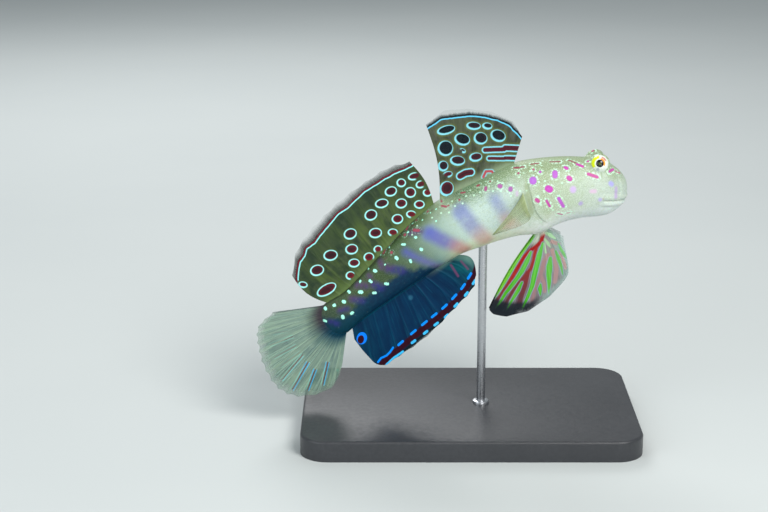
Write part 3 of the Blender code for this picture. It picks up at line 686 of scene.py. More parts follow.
# Soft bars of the flank: width, strength, then points from the back to the belly
FLANK_BARS = (
    (14, 0.6, (494.5, 199), (501, 209), (507, 221)),
    (19, 0.75, (461, 212), (472, 226), (485, 240)),
    (17, 1.0, (430, 233.5), (445, 241.5), (464, 250)),
    (9, 0.95, (406, 252), (415, 257), (430, 263.5), (462, 278)),
)
BLOTCHES = (
    (8, (388, 268.5), (402, 270.7)), (5, (357, 285), (366, 286)), (7, (373.5, 284.5), (381, 287.5)),
    (6, (352, 299), (362, 300.5)), (5, (340, 310.5), (347, 309)), (5, (379.6, 261), (382, 267)),
    (5, (410, 233), (420, 231)), (5, (331, 322), (337, 324)), (4, (368.6, 275.4), (370, 276.4)),
)
# Upper edge of the dark blue of the rear body, and the dark rim where the tail fin begins
NAVY_EDGE = (
    (300, 318), (322, 318), (336, 318.5), (350, 313.5), (359, 301.2), (383.9, 284.4), (403.6, 270.6),
    (438, 265.7), (480, 278),
)
TAIL_RIM = ((6.0, (314.5, 308), (314, 320), (319, 331), (327, 338)),)


def body_stations():
    nose = NOSE_LENGTH * (1 - np.cos(np.radians(np.arange(1.0, 90.0, 1.0))))
    head = np.arange(NOSE_LENGTH, GILL_OPENING - 0.8, 0.16)
    opening = GILL_OPENING + np.array((-0.7, -0.5, -0.3, -0.16, -0.07, 0.0, 0.05, 0.12, 0.25, 0.45, 0.7))
    trunk = np.arange(GILL_OPENING + 0.95, TAIL_START, 0.25)
    tail = TAIL_START + TAIL_ROUND * np.sin(np.radians(np.arange(0.0, 89.0, 3.0)))
    return np.concatenate((nose, head, opening, trunk, tail))


def mouth_line():
    s = MOUTH_FRONT + (MOUTH_CORNER - MOUTH_FRONT) * np.linspace(0, 1, 90) ** 1.5
    return np.concatenate([skin(s, side * mouth_angle(s)) for side in (1, -1)])


def lip_lift(points):
    """Rise of the lips, the slit between them and the creases beyond them, and the slit's distance."""
    away, nearest_x = np.full(points.shape[:-1], np.inf), np.zeros(points.shape[:-1])
    above = np.zeros(points.shape[:-1])
    for spot in mouth_line():
        distance = np.linalg.norm(points - spot, axis=-1)
        closer = distance < away
        away = np.where(closer, distance, away)
        nearest_x = np.where(closer, spot[0], nearest_x)
        above = np.where(closer, points[..., 2] - spot[2], above)
    corner_x = interpolate(BODY, MOUTH_CORNER)[0]
    fade = smoothstep(corner_x - 0.6, corner_x + 1.6, nearest_x)
    upper = smoothstep(0.2, 0.8, above)
    lips = LIP_RISE * bump(away - LIP_CREST, LIP_WIDTH) - LIP_SLIT * bump(away, SLIT_WIDTH)
    for (distance, depth), share in ((UPPER_CREASE, upper), (LOWER_CREASE, 1 - upper)):
        lips = lips - depth * bump(away - distance, CREASE_WIDTH) * share
    return fade * lips, away


def gill_edge(s, angle):
    """Lift of the gill cover's edge and the crevice behind it, and the edge's overhang."""
    round_angle = np.abs((angle + 180) % 360 - 180)
    across = smoothstep(*GILL_TOP, round_angle) * (1 - smoothstep(*GILL_END, round_angle))
    past = s - GILL_OPENING
    cover = FLAP_RISE * smoothstep(-3.5, -0.5, past) - FLAP_STEP * smoothstep(-0.3, 0.0, past)
    behind = -GILL_CREVICE * (1 - smoothstep(0.1, 2.0, past))
    overhang = FLAP_OVERHANG * smoothstep(-1.6, -0.1, past) * (past < 0.01)
    across *= 1 - 0.7 * smoothstep(*GILL_THROAT, round_angle)
    return across * np.where(past < 0.01, cover, behind), across * overhang


def nostrils(points):
    """Lift of the short nostril tubes with their openings, and of the pores behind them."""
    lift = np.zeros(points.shape[:-1])
    for station, angle, rise in NOSTRILS:
        for side in (1, -1):
            away = np.linalg.norm(points - skin(station, side * angle), axis=-1)
            hole = (rise + NOSTRIL_DEPTH) * np.exp(-(away / NOSTRIL_HOLE) ** 4)
            lift += rise * np.exp(-(away / NOSTRIL_WIDTH) ** 4) - hole
    return lift


def raise_eyes(points, plain, normals, right):
    """Swell the skin into a dome round each eye, open towards the eye's axis."""
    cap, cap_out, cap_up = (EYE_DOME * share for share in (EYE_CAP, math.sin(EYE_CAP), math.cos(EYE_CAP)))
    length = cap + EYE_SKIRT_STRETCH * (EYE_SKIRT - cap_out)
    for side in (-1, 1):
        own = right if side < 0 else ~right
        centre = eye_centre(side)
        offset = plain - centre
        near = np.linalg.norm(offset, axis=-1) + FAR * ~own
        normal = normals[np.unravel_index(near.argmin(), near.shape)]
        height = offset @ normal
        flat = offset - height[..., None] * normal
        away = np.linalg.norm(flat, axis=-1)
        inside = own & (away < EYE_SKIRT) & (np.abs(height) < EYE_SKIRT)
        arc = away / EYE_SKIRT * length
        k = np.clip((arc - cap) / (length - cap), 0.0, 1.0)
        out = np.where(arc < cap, EYE_DOME * np.sin(arc / EYE_DOME), cap_out + (EYE_SKIRT - cap_out) * k)
        up = np.where(arc < cap, EYE_DOME * np.cos(arc / EYE_DOME), cap_up * (1 - k) ** 2)
        push = unit(flat) * (out - away)[..., None] + normal * up[..., None]
        left = left_at(plain[..., 0])
        sideways = np.sum(push * left, axis=-1)
        lateral = np.abs(np.sum((plain - median(plain[..., 0], plain[..., 2])) * left, axis=-1))
        push -= left * (sideways * (1 - smoothstep(0.0, 0.7, lateral)))[..., None]
        spoke = points + push - centre
        reach = np.linalg.norm(spoke, axis=-1)
        turn = np.degrees(np.arccos(np.clip(spoke @ eye_frame(side)[0] / np.maximum(reach, 1e-6), -1, 1)))
        lid = smoothstep(EYE_OPENING - EYE_LID_EDGE, EYE_OPENING + EYE_LID_EDGE, turn)
        rim = EYE_LID_RIM * bump(turn - EYE_OPENING - 9, 7)
        radius = (EYE_RADIUS - EYE_SOCKET_DEPTH) * (1 - lid) + (reach + rim) * lid
        points = np.where(inside[..., None], centre + unit(spoke) * radius[..., None], points)
    return points


class Canvas:
    """A grid of skin points on which strokes of the photograph are laid, alike on both sides."""

    def __init__(self, points):
        self.points = points
        self.pictured = photo(points)
        self.depth = (points - VIEWPOINT) @ FORWARD
        self.facing = grid_normals(points, True) @ FORWARD < 0.05
        self.mirror = -np.arange(points.shape[1]) % points.shape[1]

    def lay(self, spots):
        """Points of the skin under a stroke, every few pixels along it."""
        spots = np.asarray(spots, float)
        places = []
        for a, b in zip(spots, spots[1:]):
            count = max(1, math.ceil(np.linalg.norm(b - a) / MARK_STEP))
            places += [a + (b - a) * k / count for k in range(count)]
        places.append(spots[-1])
        laid = []
        for spot in places:
            miss = np.linalg.norm(self.pictured - spot, axis=-1) + FAR * ~self.facing
            close = np.where(miss < miss.min() + MARK_SLACK, self.depth, np.inf)
            laid.append(unphoto(spot, self.depth.flat[close.argmin()]))
        return laid

    def tagged(self, strokes):
        """Distance to the nearest of strokes (width, tag, point, ...), its tag and the run along it."""
        best, tag, along = (np.full(self.depth.shape, value) for value in (FAR, 0.0, 0.0))
        for width, value, *spots in strokes:
            away, run = stroke_distance(self.points, self.lay(spots), width * PIXEL)
            tag, along = np.where(away < best, value, tag), np.where(away < best, run, along)
            best = np.minimum(best, away)
        other = best[:, self.mirror] < best
        return [np.where(other, values[:, self.mirror], values) for values in (best, tag, along)]

    def marks(self, strokes):
        return self.tagged([(width, 0.0, *spots) for width, *spots in strokes])[0]

    def dots(self, strokes):
        """Distance to dots whose length is given to their outer edges."""
        drawn = []
        for width, *spots in strokes:
            middle = np.mean(spots, axis=0)
            drawn.append((width * DOT_WIDTH, *(middle + (spot - middle) * DOT_LENGTH for spot in spots)))
        return self.marks(drawn)

    def below(self, points, right):
        """Pixels below a line of the photograph that runs from left to right."""
        values = line_side(self.pictured, points)
        return np.where(right, values, values[:, self.mirror])


def make_skin(material):
    s, angle = np.meshgrid(body_stations(), np.arange(AROUND) * 360 / AROUND, indexing="ij")
    plain = skin(s, angle)
    normals = grid_normals(plain, True)
    station = slanted(s, angle)
    right = angle <= 180
    half = AROUND // 2
    steps = np.linalg.norm(np.roll(plain, -1, axis=1) - plain, axis=-1)
    girth = np.zeros(s.shape)
    girth[:, 1:half + 1] = np.cumsum(steps[:, :half], axis=1)
    girth[:, half + 1:] = girth[:, half - 1:0:-1]

    lips, from_mouth = lip_lift(plain)
    edge, overhang = gill_edge(s, angle)
    lift = lips + edge + nostrils(plain)
    lift -= LIP_FOLD_DEPTH * bump(np.maximum(Canvas(plain).marks(LIP_FOLD), 0.0), 0.4)
    points = plain + normals * lift[..., None] - spine(s)[1] * overhang[..., None]
    points = raise_eyes(points, plain, normals, right)

    canvas = Canvas(points)
    spot, hue, _ = canvas.tagged(SPOTS)
    pale, tint, _ = canvas.tagged(LAVENDER_SPOTS)
    bars, strength, low = canvas.tagged(FLANK_BARS)
    for side in (-1, 1):
        offset = points - eye_centre(side)
        socket = (np.linalg.norm(offset, axis=-1) < EYE_DOME + 0.12) & (offset[..., 2] < 0)
        spot = np.where(socket, np.maximum(spot, 0.8), spot)
    centre, _, _, up, above, below, _ = spine(station)
    drop = np.clip((above - np.sum((points - centre) * up, axis=-1)) / (above + below), 0.0, 1.0)
    snout = 1 - smoothstep(5, NOSE_LENGTH, station)
    flank = np.where(right, angle, 360 - angle) / 180 * (1 - snout) + drop * snout
    fields = {
        "station": station, "flank": flank,
        "skin_map": np.stack((station, girth, np.zeros(s.shape)), -1),
        "spot": spot, "hue": hue, "lavender": pale, "tint": tint,
        "corner": canvas.marks(MOUTH_CORNER_SPOT), "cyan": canvas.dots(CYAN_DOTS),
        "mint": canvas.marks([(MINT_DOT_WIDTH, place) for place in MINT_DOTS]),
        "bars": bars, "strength": strength, "low": low, "blotch": canvas.marks(BLOTCHES),
        "navy": canvas.below(NAVY_EDGE, right), "tail_rim": canvas.marks(TAIL_RIM),
        "mouth": from_mouth, "shade": canvas.marks(PECTORAL_SHADE),
    }
    snout_tip, tail_end = skin(0.0, 0.0), skin(TAIL_START + TAIL_ROUND, 0.0)
    build_round("skin", points, snout_tip, tail_end, fields, material, "body_skin",
                "head", "gill_cover_left", "gill_cover_right", "trunk", "tail_stem")


def skin_finish():
    f = Finish("goby_skin", 0.42, IOR=1.4, Specular_IOR_Level=0.35, Subsurface_Weight=0.12,
               Subsurface_Scale=0.002)
    f.shader.inputs["Subsurface Radius"].default_value = (1.0, 0.6, 0.45)
    along = f.calc("DIVIDE", "station", 100.0)
    where = f.place("skin_map")
    mottle = f.noise(where, 0.45, 4.0)
    flank = f.add("flank", f.swing(mottle, 0.16))
    # Ground colours of back, flank and belly, from the snout to the tail
    back = f.ramp(along, (0.0, (150, 166, 144)), (0.07, (138, 154, 122)), (0.2, (130, 147, 108)),
                  (0.3, (130, 148, 110)), (0.4, (92, 124, 82)), (0.455, (62, 94, 58)),
                  (0.51, (134, 152, 124)), (0.57, (84, 106, 70)), (0.62, (60, 86, 44)),
                  (0.8, (50, 71, 36)), (0.92, (52, 73, 42)), (1.0, (48, 58, 56)))
    side = f.ramp(along, (0.0, (172, 186, 178)), (0.1, (182, 195, 184)), (0.18, (168, 184, 160)),
                  (0.25, (154, 171, 138)), (0.3, (178, 194, 180)), (0.36, (182, 202, 200)),
                  (0.47, (184, 206, 197)), (0.57, (136, 162, 150)), (0.64, (84, 109, 84)),
                  (0.74, (54, 75, 42)), (0.9, (52, 73, 40)), (1.0, (34, 58, 62)))
    belly = f.ramp(along, (0.0, (208, 220, 220)), (0.14, (216, 226, 224)), (0.28, (230, 235, 232)),
                   (0.42, (224, 232, 196)), (0.53, (206, 220, 176)), (0.6, (104, 142, 146)),
                   (0.68, (12, 60, 94)), (0.85, (2, 48, 82)), (1.0, (4, 46, 68)))
    f.base = f.mix(f.step(flank, 0.14, 0.42), back, side)
    f.coat(belly, flank, 0.57, 0.8)
    # Patches and fine speckles, strongest on the pale front half
    pale_part = f.step("station", 56, 42, 0.1, 1.0)
    patch = f.noise(where, 1.0)
    patchy = f.times(f.step(patch, 0.45, 0.75, 0.0, 0.45), f.step("station", 60, 45, 0.2, 1.0))
    f.coat(f.mix(flank, (120, 144, 88), (180, 198, 160)), patchy)
    fine = f.noise(where, 3.2)
    speckle = f.times(f.step(fine, 0.4, 0.68, 0.0, 0.5), pale_part)
    f.coat(f.mix(flank, (196, 218, 188), (236, 244, 238)), speckle)
    # Bars of the flank, dark blue of the rear body, blotches, tints, and a painted shade along the second
    # dorsal's root
    bar_colour = f.ramp("low", (0.0, (84, 88, 182)), (0.5, (108, 102, 170)), (0.8, (180, 130, 138)),
                        (1.0, (200, 138, 132)))
    bar_share = f.times(f.step("bars", 1.1, -1.9), f.step(mottle, 0.2, 0.55, 0.7, 0.95), "strength")
    f.coat(bar_colour, f.times(bar_share, 0.85))
    tatters = f.swing(mottle, 9.0)
    deep = f.mix(f.step(along, 0.8, 0.93), (0, 43, 72), (0, 54, 70))
    deep = f.mix(f.step(patch, 0.4, 0.7, 0.0, 0.5), deep, (2, 62, 86))
    f.coat(deep, f.add("navy", tatters), -3.0, 4.0)
    blotch_share = f.times(f.step("blotch", 1.1, -0.9, 0.0, 0.8), f.step(patch, 0.25, 0.55, 0.5, 1.0))
    f.coat(f.mix(f.step(flank, 0.5, 0.3), (44, 42, 118), (82, 52, 104)), blotch_share)
    # painted shade along the back where the second dorsal fin rises from it
    painted_dorsal_root_shade = f.times(f.step(flank, 0.17, 0.07), f.step("station", 56, 62), 0.45)
    f.coat((40, 38, 32), painted_dorsal_root_shade)
    f.coat((140, 154, 112), "shade", 0.7, -1.0, 0.65)
    flecks = f.times(f.step(f.cells(f.stretch(where, 0.7, 1.0), 0.72), 0.3, 0.18),
                     f.step(flank, 0.3, 0.16), f.step("station", 50, 58), 0.6)
    f.coat((84, 52, 62), flecks)
    f.coat((64, 44, 58), "tail_rim", 1.2, -0.6, 0.65)
    # Spots with their broken pale rims, fine dots and bright dots
    grain = f.noise(where, 2.8, 2.0)
    blobs = f.step(f.noise(where, 1.8, 1.0), 0.49, 0.54, 0.0, 0.85)
    rim = f.times(f.step("spot", 0.02, 0.16), f.step("spot", 0.74, 0.44), blobs,
                  f.step("station", 44, 32, 0.25, 1.0))
    f.coat((206, 244, 222), rim)
    speck = f.times(f.step(f.cells(where, 0.5), 0.16, 0.09), f.step("station", 34, 26, 0.04, 0.7))
    f.coat((204, 240, 214), speck)
    pale_spot = f.ramp("tint", (0.0, (216, 182, 212)), (0.4, (204, 176, 226)), (0.7, (178, 154, 202)),
                       (1.0, (168, 162, 232)))
    f.coat(pale_spot, "lavender", 0.35, -0.6, 0.85)
    spot_colour = f.ramp("hue", (0.0, (164, 102, 178)), (0.35, (170, 92, 202)), (0.52, (198, 52, 186)),
                         (0.7, (188, 56, 134)), (1.0, (130, 34, 56)))
    spot_colour = f.mix(f.step("spot", -0.5, -1.1, 0.0, 0.3), spot_colour, (198, 116, 232))
    muted = f.mix(f.step("hue", 0.45, 0.8), (166, 96, 162), (160, 66, 84))
    spot_colour = f.mix(f.step("station", 28, 31, 0.0, 0.8), spot_colour, muted)
    f.coat(spot_colour, "spot", 0.12, -0.16, 0.92)
    f.coat((164, 108, 54), "corner", 0.15, -0.4, 0.6)
    f.coat((200, 242, 214), "mint", 0.1, -0.14, 0.85)
    ragged_dot = f.add("cyan", f.swing(grain, 0.5))
    f.coat((172, 252, 228), ragged_dot, 0.1, -0.1)
    # painted shade in the slit between the lips
    f.coat((140, 138, 104), "mouth", 0.26, 0.05, 0.25)
    # Relief of pores and, behind the head, scales
    scales = f.cells(f.stretch(where, 1.0, 1.25), 2.1, 0.35)
    pores = f.noise(where, 7.0, 2.0)
    scaly = f.step("station", 24, 40)
    height = f.add(f.times(f.step(scales, 0.1, 0.75), scaly, 0.5), f.times(pores, 0.5))
    f.relief(height, 0.06, 0.6)
    return f.done()


# Eyes

def make_eye(side, name, material):
    axis, across, upward = eye_frame(side)
    turn, spin = np.meshgrid(np.radians(np.arange(2.0, 179.0, 2.0)), np.radians(np.arange(0, 360, 3.0)),
                             indexing="ij")
    forward, up = np.sin(turn) * np.cos(spin), np.sin(turn) * np.sin(spin)
    cornea = EYE_RADIUS + CORNEA_RISE * bump(turn, 0.55)
    directions = axis * np.cos(turn)[..., None] + across * forward[..., None] + upward * up[..., None]
    rings = eye_centre(side) + directions * cornea[..., None]
    plane = np.stack((forward, up), -1) * EYE_RADIUS
    from_centre = np.linalg.norm(plane, axis=-1) + 9.0 * (turn > math.pi / 2)
    angle = np.degrees(np.arctan2(up, forward))

    def arc(radius, width, first, last):
        """Distance to a curved band about the pupil between two directions."""
        middle, spread = (first + last) / 2, (last - first) / 2
        beyond = np.abs((angle - middle + 180) % 360 - 180) - spread
        return np.maximum(np.abs(from_centre - radius) - width / 2, beyond * math.radians(1) * radius)

    fields = {"pupil": from_centre - PUPIL_RADIUS,
              "eye_map": np.concatenate((plane, from_centre[..., None]), -1)}
    for field, measures in EYE_ARCS.items():
        fields[field] = arc(*measures)
    for field, spot in EYE_MARKS.items():
        fields[field] = np.linalg.norm(plane - spot, axis=-1) - EYE_MARK_RADIUS
    if side > 0:
        rings, fields = rings[:, ::-1], {name: values[:, ::-1] for name, values in fields.items()}
    front, back = (eye_centre(side) + axis * reach for reach in (EYE_RADIUS + CORNEA_RISE, -EYE_RADIUS))
    build_round("eyeball_" + name, rings, front, back, fields, material, "eye", "eye_" + name)


def eye_finish():
    f = Finish("goby_eye", 0.2, Coat_Weight=0.5, Coat_Roughness=0.06, IOR=1.34)
    where = f.place("eye_map")
    fleck = f.noise(where, 2.4)
    f.base = f.mix(fleck, (250, 252, 246), (206, 222, 206))
    f.coat((112, 120, 160), "patch", 0.25, -0.2, 0.6)
    f.coat(f.mix(fleck, (244, 255, 20), (214, 236, 0)), "yellow", 0.12, -0.12)
    f.coat(f.mix(fleck, (255, 176, 0), (250, 128, 20)), "orange", 0.1, -0.15)
    f.coat((206, 84, 74), "red", 0.1, -0.15, 0.8)
    f.coat((6, 12, 16), "pupil", 0.08, -0.04)
    # painted reflection (glint) in the pupil
    f.coat((92, 108, 26), "glint", 0.2, -0.3, 0.75)
    return f.done()


# Fins

# Ringed spots: column, row, width, height, tilt, side of a gap in the ring or None, redness
FIRST_DORSAL_SPOTS = (
    (446, 130, 18, 8.6, -15, None, 0), (473.5, 125.8, 14, 7.6, 4, None, 0.2),
    (487.2, 126, 9.6, 6.4, 8, None, 0.1), (462.1, 139.4, 15.4, 11.4, 15, None, 0),
    (480.5, 138.3, 13.2, 11.8, 10, None, 0.1), (498, 135.7, 15, 11.4, 20, None, 0),
    (445.3, 148.3, 15, 15, 20, None, 0), (462.5, 150.6, 6.4, 4, 25, 200, 0.3),
    (457.4, 160.6, 14.5, 9.5, 5, None, 0.3), (475.6, 157.1, 12.5, 8.5, -8, None, 0.5),
    (443, 166, 10, 10, 20, None, 0.2), (447.4, 174.5, 10, 6, -15, 225, 0.8),
    (446.5, 188.5, 13.4, 14.5, 30, None, 0.8),
)
FIRST_DORSAL_STRIPES = (
    (6.8, (485, 149.9), (504.2, 149.2)), (7.6, (505.2, 147.8), (519, 148.4)),
    (5.8, (489, 158.3), (504, 158.4)), (6.2, (505, 158), (517, 158.2)),
    (8.4, (460, 176), (465.5, 172.8), (471, 172)),
)
STRIPE_REDNESS = 0.8
FIRST_DORSAL_SQUIGGLE = ((3.0, (483.2, 176.8), (485.8, 171.2), (491.8, 171.2), (494.8, 175.8)),)
FIRST_DORSAL_SHIFT = (0.6, -0.6)
SECOND_DORSAL_SHIFT = (0.2, -0.3)
FIRST_DORSAL_LINE = (
    (424, 131), (427, 129), (436, 123), (441, 119.5), (452, 118), (465, 116.5), (469, 116), (485, 117.5),
    (497, 120.5), (503, 123), (508, 125), (515, 132), (521, 138.5), (524, 142),
)
SECOND_DORSAL_SPOTS = (
    (317, 270.3, 13.6, 10.6, -15, None, 0.4), (330.5, 255.3, 13.8, 10.4, -10, None, 0.3),
    (350.2, 233.9, 12.8, 10.4, -20, None, 0.3), (370.8, 215, 12.4, 10.4, -20, None, 0.3),
    (381.7, 203.4, 13.2, 8.8, -12, None, 0.3), (390.8, 191.4, 12, 9.4, -20, None, 0.3),
    (401.2, 182.8, 9, 8.2, 0, None, 0.5), (414, 176.3, 12, 7.2, -15, 0, 0.5),
    (326.5, 289.6, 21, 10.4, -30, None, 0.6), (351.6, 249.2, 12.3, 9.9, -10, None, 0.6),
    (375.4, 233, 12.6, 9.8, -8, None, 0.6), (397.4, 219, 11, 9.4, -5, None, 0.7),
    (401.2, 203.4, 11.2, 9.4, -8, None, 0.6), (410.3, 192.4, 10.8, 10.2, 0, None, 0.6),
    (420.5, 184.4, 9.4, 7.2, -20, 20, 0.6), (350.4, 275.5, 9.2, 8, -10, -30, 0.9),
    (354, 263, 11, 8.4, -5, None, 0.7), (368.8, 257.2, 10.2, 9, -10, -75, 0.9),
    (377.8, 249.2, 8.2, 7.2, -10, -75, 0.9), (392.8, 232.4, 9.8, 7.4, 0, -60, 0.9),
    (411.2, 214.3, 9.8, 7.2, 5, -40, 0.9), (419.3, 204.4, 10.2, 8, 0, None, 0.8),
    (427.2, 192.8, 8.4, 7.2, 10, 60, 0.9), (302.9, 284.7, 9, 6, 10, None, 0.4),
)
SECOND_DORSAL_LINE = (
    (418, 163), (412, 166), (405, 170), (394, 174), (384, 180), (376, 185), (365, 192), (356, 200),
    (348, 208), (339, 214), (330, 224), (320, 236), (315, 243), (307, 249), (305, 256), (300, 262),
    (298.5, 272), (298, 280),
)
ANAL_INNER = (
    (469.5, 275.9), (463, 286.5), (454.2, 296.7), (444.5, 306.6), (434.2, 315.2), (424.4, 323),
    (413.3, 332.1), (400.6, 343),
)
ANAL_INNER_CHAIN = ((2.0, (393, 347.5), (390, 352), (386.5, 355.4), (381, 358), (378, 362)),)
ANAL_OUTER = (
    (474, 282), (466.3, 294), (456, 305), (446.4, 316), (436.2, 324), (425.6, 332.3), (413.5, 341.6),
)
ANAL_OUTER_CHAIN = ((2.2, (393.5, 358), (403, 351.5)), (2.0, (386, 365), (392.5, 358.8)))
ANAL_BAND = (
    (478, 264), (474, 276), (465, 290), (455.5, 300.6), (445.5, 311), (435.3, 319.6), (425, 327.6),
    (413.4, 337), (399.6, 348.4), (387, 359), (378, 368), (370, 372),
)
# Eyespot of the anal fin: place, size and tilt of its ring and of its core
ANAL_RING = ((361.8, 338.2), (10.4, 12.4), 15)
ANAL_CORE = ((360.8, 339.4), (6.4, 8.6), 15)
ANAL_STREAKS = ((1.6, (451, 265), (458, 276)), (1.4, (461, 261), (468, 269)))
ANAL_TICKS = ((1.2, (349, 328), (346, 333)), (1.2, (352, 328), (350, 333)))
ANAL_BLOTCH = ((4, (410.6, 297.5)),)
# Pairs of bright lines in the tail fin's membranes: brightness, then ends of the dark line between
CAUDAL_PAIRS = (
    (0.25, (288, 331), (272, 333)), (0.4, (294, 336), (268.5, 345.5)), (0.45, (297, 345), (273, 358)),
    (0.35, (301, 351.5), (279.5, 367)), (0.7, (303.5, 353.8), (280.5, 381)),
    (0.95, (308.7, 361), (291.2, 391)), (1, (315.6, 368.3), (307, 391)), (0.95, (328, 361), (322.2, 386)),
)
CAUDAL_PAIR_SPREAD = 1.5     # pixels
CAUDAL_DOT = ((3.0, (337.5, 370)),)
# Pelvic stripes. Green ones: column, row and width of their points; the others: width, first and last
# hue from 0 (red) over 0.5 (dark purple) to 1 (pale pink), and points
PELVIC_GREEN = (
    ((537, 232, 2), (530, 241.5, 3), (523, 251, 3), (515.5, 263, 3), (508, 276, 3), (501, 288, 2.4),
     (494, 299, 1)),
    ((531, 252, 2), (527.2, 260.7, 4.6), (522.1, 270.9, 4.4), (516.4, 279.2, 3.8), (510.6, 286.9, 3.8),
     (505.5, 293.2, 3), (499.8, 302.8, 2.4), (495, 309, 1)),
    ((522, 282.5, 2), (518.3, 290, 3.6), (514.4, 296.4, 3.2), (511.3, 301.5, 2.4), (506, 311, 1)),
    ((543, 243, 2), (539.3, 255.6, 5), (536.8, 265.8, 5), (534.2, 276, 5), (532.3, 285.6, 4.2),
     (528.5, 295.2, 3.4), (524.6, 304.1, 2.6), (521.5, 311.1, 1.4)),
    ((540.6, 284, 1.5), (540, 289, 4.2), (540.4, 296, 1.5)),
    ((550.4, 258, 3), (549.5, 266.5, 6.2), (548.9, 274.7, 5.2), (549.2, 282.4, 4), (548.7, 294, 1.2)),
    ((555.8, 251, 2), (558.4, 258.2, 4), (561, 265.8, 3), (562.9, 275, 1.4)),
    ((558.5, 243.5, 1.5), (561.6, 250.5, 3.2), (565.5, 256.3, 3), (567.4, 259.5, 1.5)),
)
PELVIC_PALE_GREEN = (
    ((546, 233, 3), (550, 235, 4.2), (555, 238.2, 2)),
    ((545, 239, 2), (548, 243.5, 3.6), (550.2, 247, 1.5)),
    ((544.2, 243.5, 2), (545.8, 252.5, 2)),
)
PELVIC_STRIPES = (
    (3.4, 0.1, 0, (543.5, 233.3), (541.2, 241.6), (536.8, 246)),
    (2.9, 0, 0.02, (536.8, 246), (531, 249.9), (524.6, 256.3), (518.3, 266.5)),
    (2.9, 0.02, 0.5, (518.3, 266.5), (513, 276), (508, 284.4), (501.6, 294.4), (492.8, 305.4)),
    (2.8, 0.1, 0.3, (536.8, 246), (534.8, 253.7), (533.6, 260.7), (531, 268.4), (526.6, 274)),
    (3, 0.3, 0.5, (526.6, 274), (520.8, 281.1), (514.4, 288.8), (508.1, 299), (504, 307)),
    (4.2, 0.32, 0.5, (527.6, 273), (525, 285.6), (521.5, 295.2), (518.5, 306)),
    (3.4, 0.85, 0.75, (548.2, 255), (544.4, 260.7), (542.5, 268.4), (540, 277)),
    (3, 0.75, 0.7, (540, 277), (536.1, 285), (534.2, 292.6), (532.3, 300.3)),
    (3, 0.8, 0.8, (541, 276), (544.2, 283), (544.6, 292)),
    (4, 1, 0.85, (552.7, 250.5), (554.6, 256.9), (556.5, 269.6), (555.3, 282.4)),
    (3.4, 1, 1, (552, 241.6), (559, 244.1)), (3, 0.95, 0.95, (560.4, 252), (563.4, 262), (566, 268)),
)
PELVIC_TIP = ((484, 292), (494, 298), (504, 301.5), (516, 302.5), (530, 302), (540, 296))


def fin_grid(columns, rows, root, tip, bow, count, depth):
    """Points over a fin whose rays run from root(u) to tip(u), bent in its own plane by bow(u)."""
    u, v = np.linspace(0, 1, columns), np.linspace(0, 1, rows)
    start, end = root(u)[:, None], tip(u)[:, None]
    along = end - start
    across = unit(np.stack((along[..., 2], np.zeros(along.shape[:-1]), -along[..., 0]), -1))
    lean = bow(u)[:, None, None] * np.sin(math.pi * v)[None, :, None]
    middle = start + along * v[None, :, None] + across * lean
    u, v = np.meshgrid(u, v, indexing="ij")
    return scallop(middle, u, v, count, depth), u, v


def scallop(middle, u, v, count, depth):
    """Draw a fin's margin in between its rays."""
    inward = unit(middle[:, :1] - middle[:, -1:])
    between = np.abs(np.sin(math.pi * u * (count - 1)))
    return middle + inward * (depth * between * smoothstep(0.7, 1.0, v))[..., None]


def rays(u, v, count, fork=0.45, second_fork=0.75):
    """Height of the rays over the membrane, from 0 to 1; soft rays fork once or twice."""
    place = u * (count - 1)
    away = np.abs(place - np.round(place))
    first = RAY_FORK * smoothstep(fork, 1.15, v)
    second = RAY_SECOND_FORK * smoothstep(second_fork, 1.2, v)
    away = np.abs(np.abs(away - first) - second)
    return bump(away, RAY_WIDTH * (1 - 0.45 * v))


def make_fin(name, node, slot, material, middle, u, v, ridge, flesh=0.7, thin=1.0, **fields):
    """A fin from the grid down its middle: membrane, rays, and flesh at the very root."""
    thickness = MEMBRANE + (MARGIN - MEMBRANE) * v + 2 * RAY_HEIGHT * (1 - 0.6 * v) * (ridge * thin)
    thickness += flesh * (1 - smoothstep(0.0, 0.09, v))
    fields = dict(fields, ray=ridge, height=v, along=u, fin_map=middle)
    build_sheet("fin_" + name, middle, thickness, fields, material, slot, node)


def upright(table, base, angle):
    """Root and tip of a fin that stands on the back or the belly."""
    def root(u):
        return skin(base[0] + (base[1] - base[0]) * u, angle, -FIN_SUNK)
    return root, lambda u: median(*interpolate(table, u))


def tail_root(u):
    """Root of the tail fin, just inside the half ellipse that ends the fleshy tail."""
    angle = np.radians(80 - 160 * u)
    centre, forward, _, up, above, below, _ = spine(np.array(TAIL_START))
    height = np.where(angle > 0, above, below) - FIN_SUNK / 2
    back = (TAIL_ROUND - FIN_SUNK) * np.cos(angle)
    point = centre - forward * back[:, None] + up * (height * np.sin(angle))[:, None]
    return median(point[:, 0], point[:, 2])


def make_first_dorsal(material):
    ends = upright(FIRST_DORSAL, FIRST_DORSAL_BASE, 0)
    middle, u, v = fin_grid(130, 116, *ends, lambda u: 1.3 * u * u, FIRST_DORSAL_RAYS, depth=0.3)
    where = photo(middle)
    core, ring, there, red = eyespots(where, FIRST_DORSAL_SPOTS, FIRST_DORSAL_SHIFT)
    stripe = nearest_stroke(where, FIRST_DORSAL_STRIPES)
    make_fin("first_dorsal", "dorsal_fin_first", "dorsal_fins", material, middle, u, v,
             rays(u, v, FIRST_DORSAL_RAYS, UNFORKED, UNFORKED), core=np.minimum(core, stripe + RING_WIDTH),
             ring=np.minimum(ring, stripe), there=there, red=np.where(stripe < 1.5, STRIPE_REDNESS, red),
             line=-line_side(where, FIRST_DORSAL_LINE),
             squiggle=nearest_stroke(where, FIRST_DORSAL_SQUIGGLE))


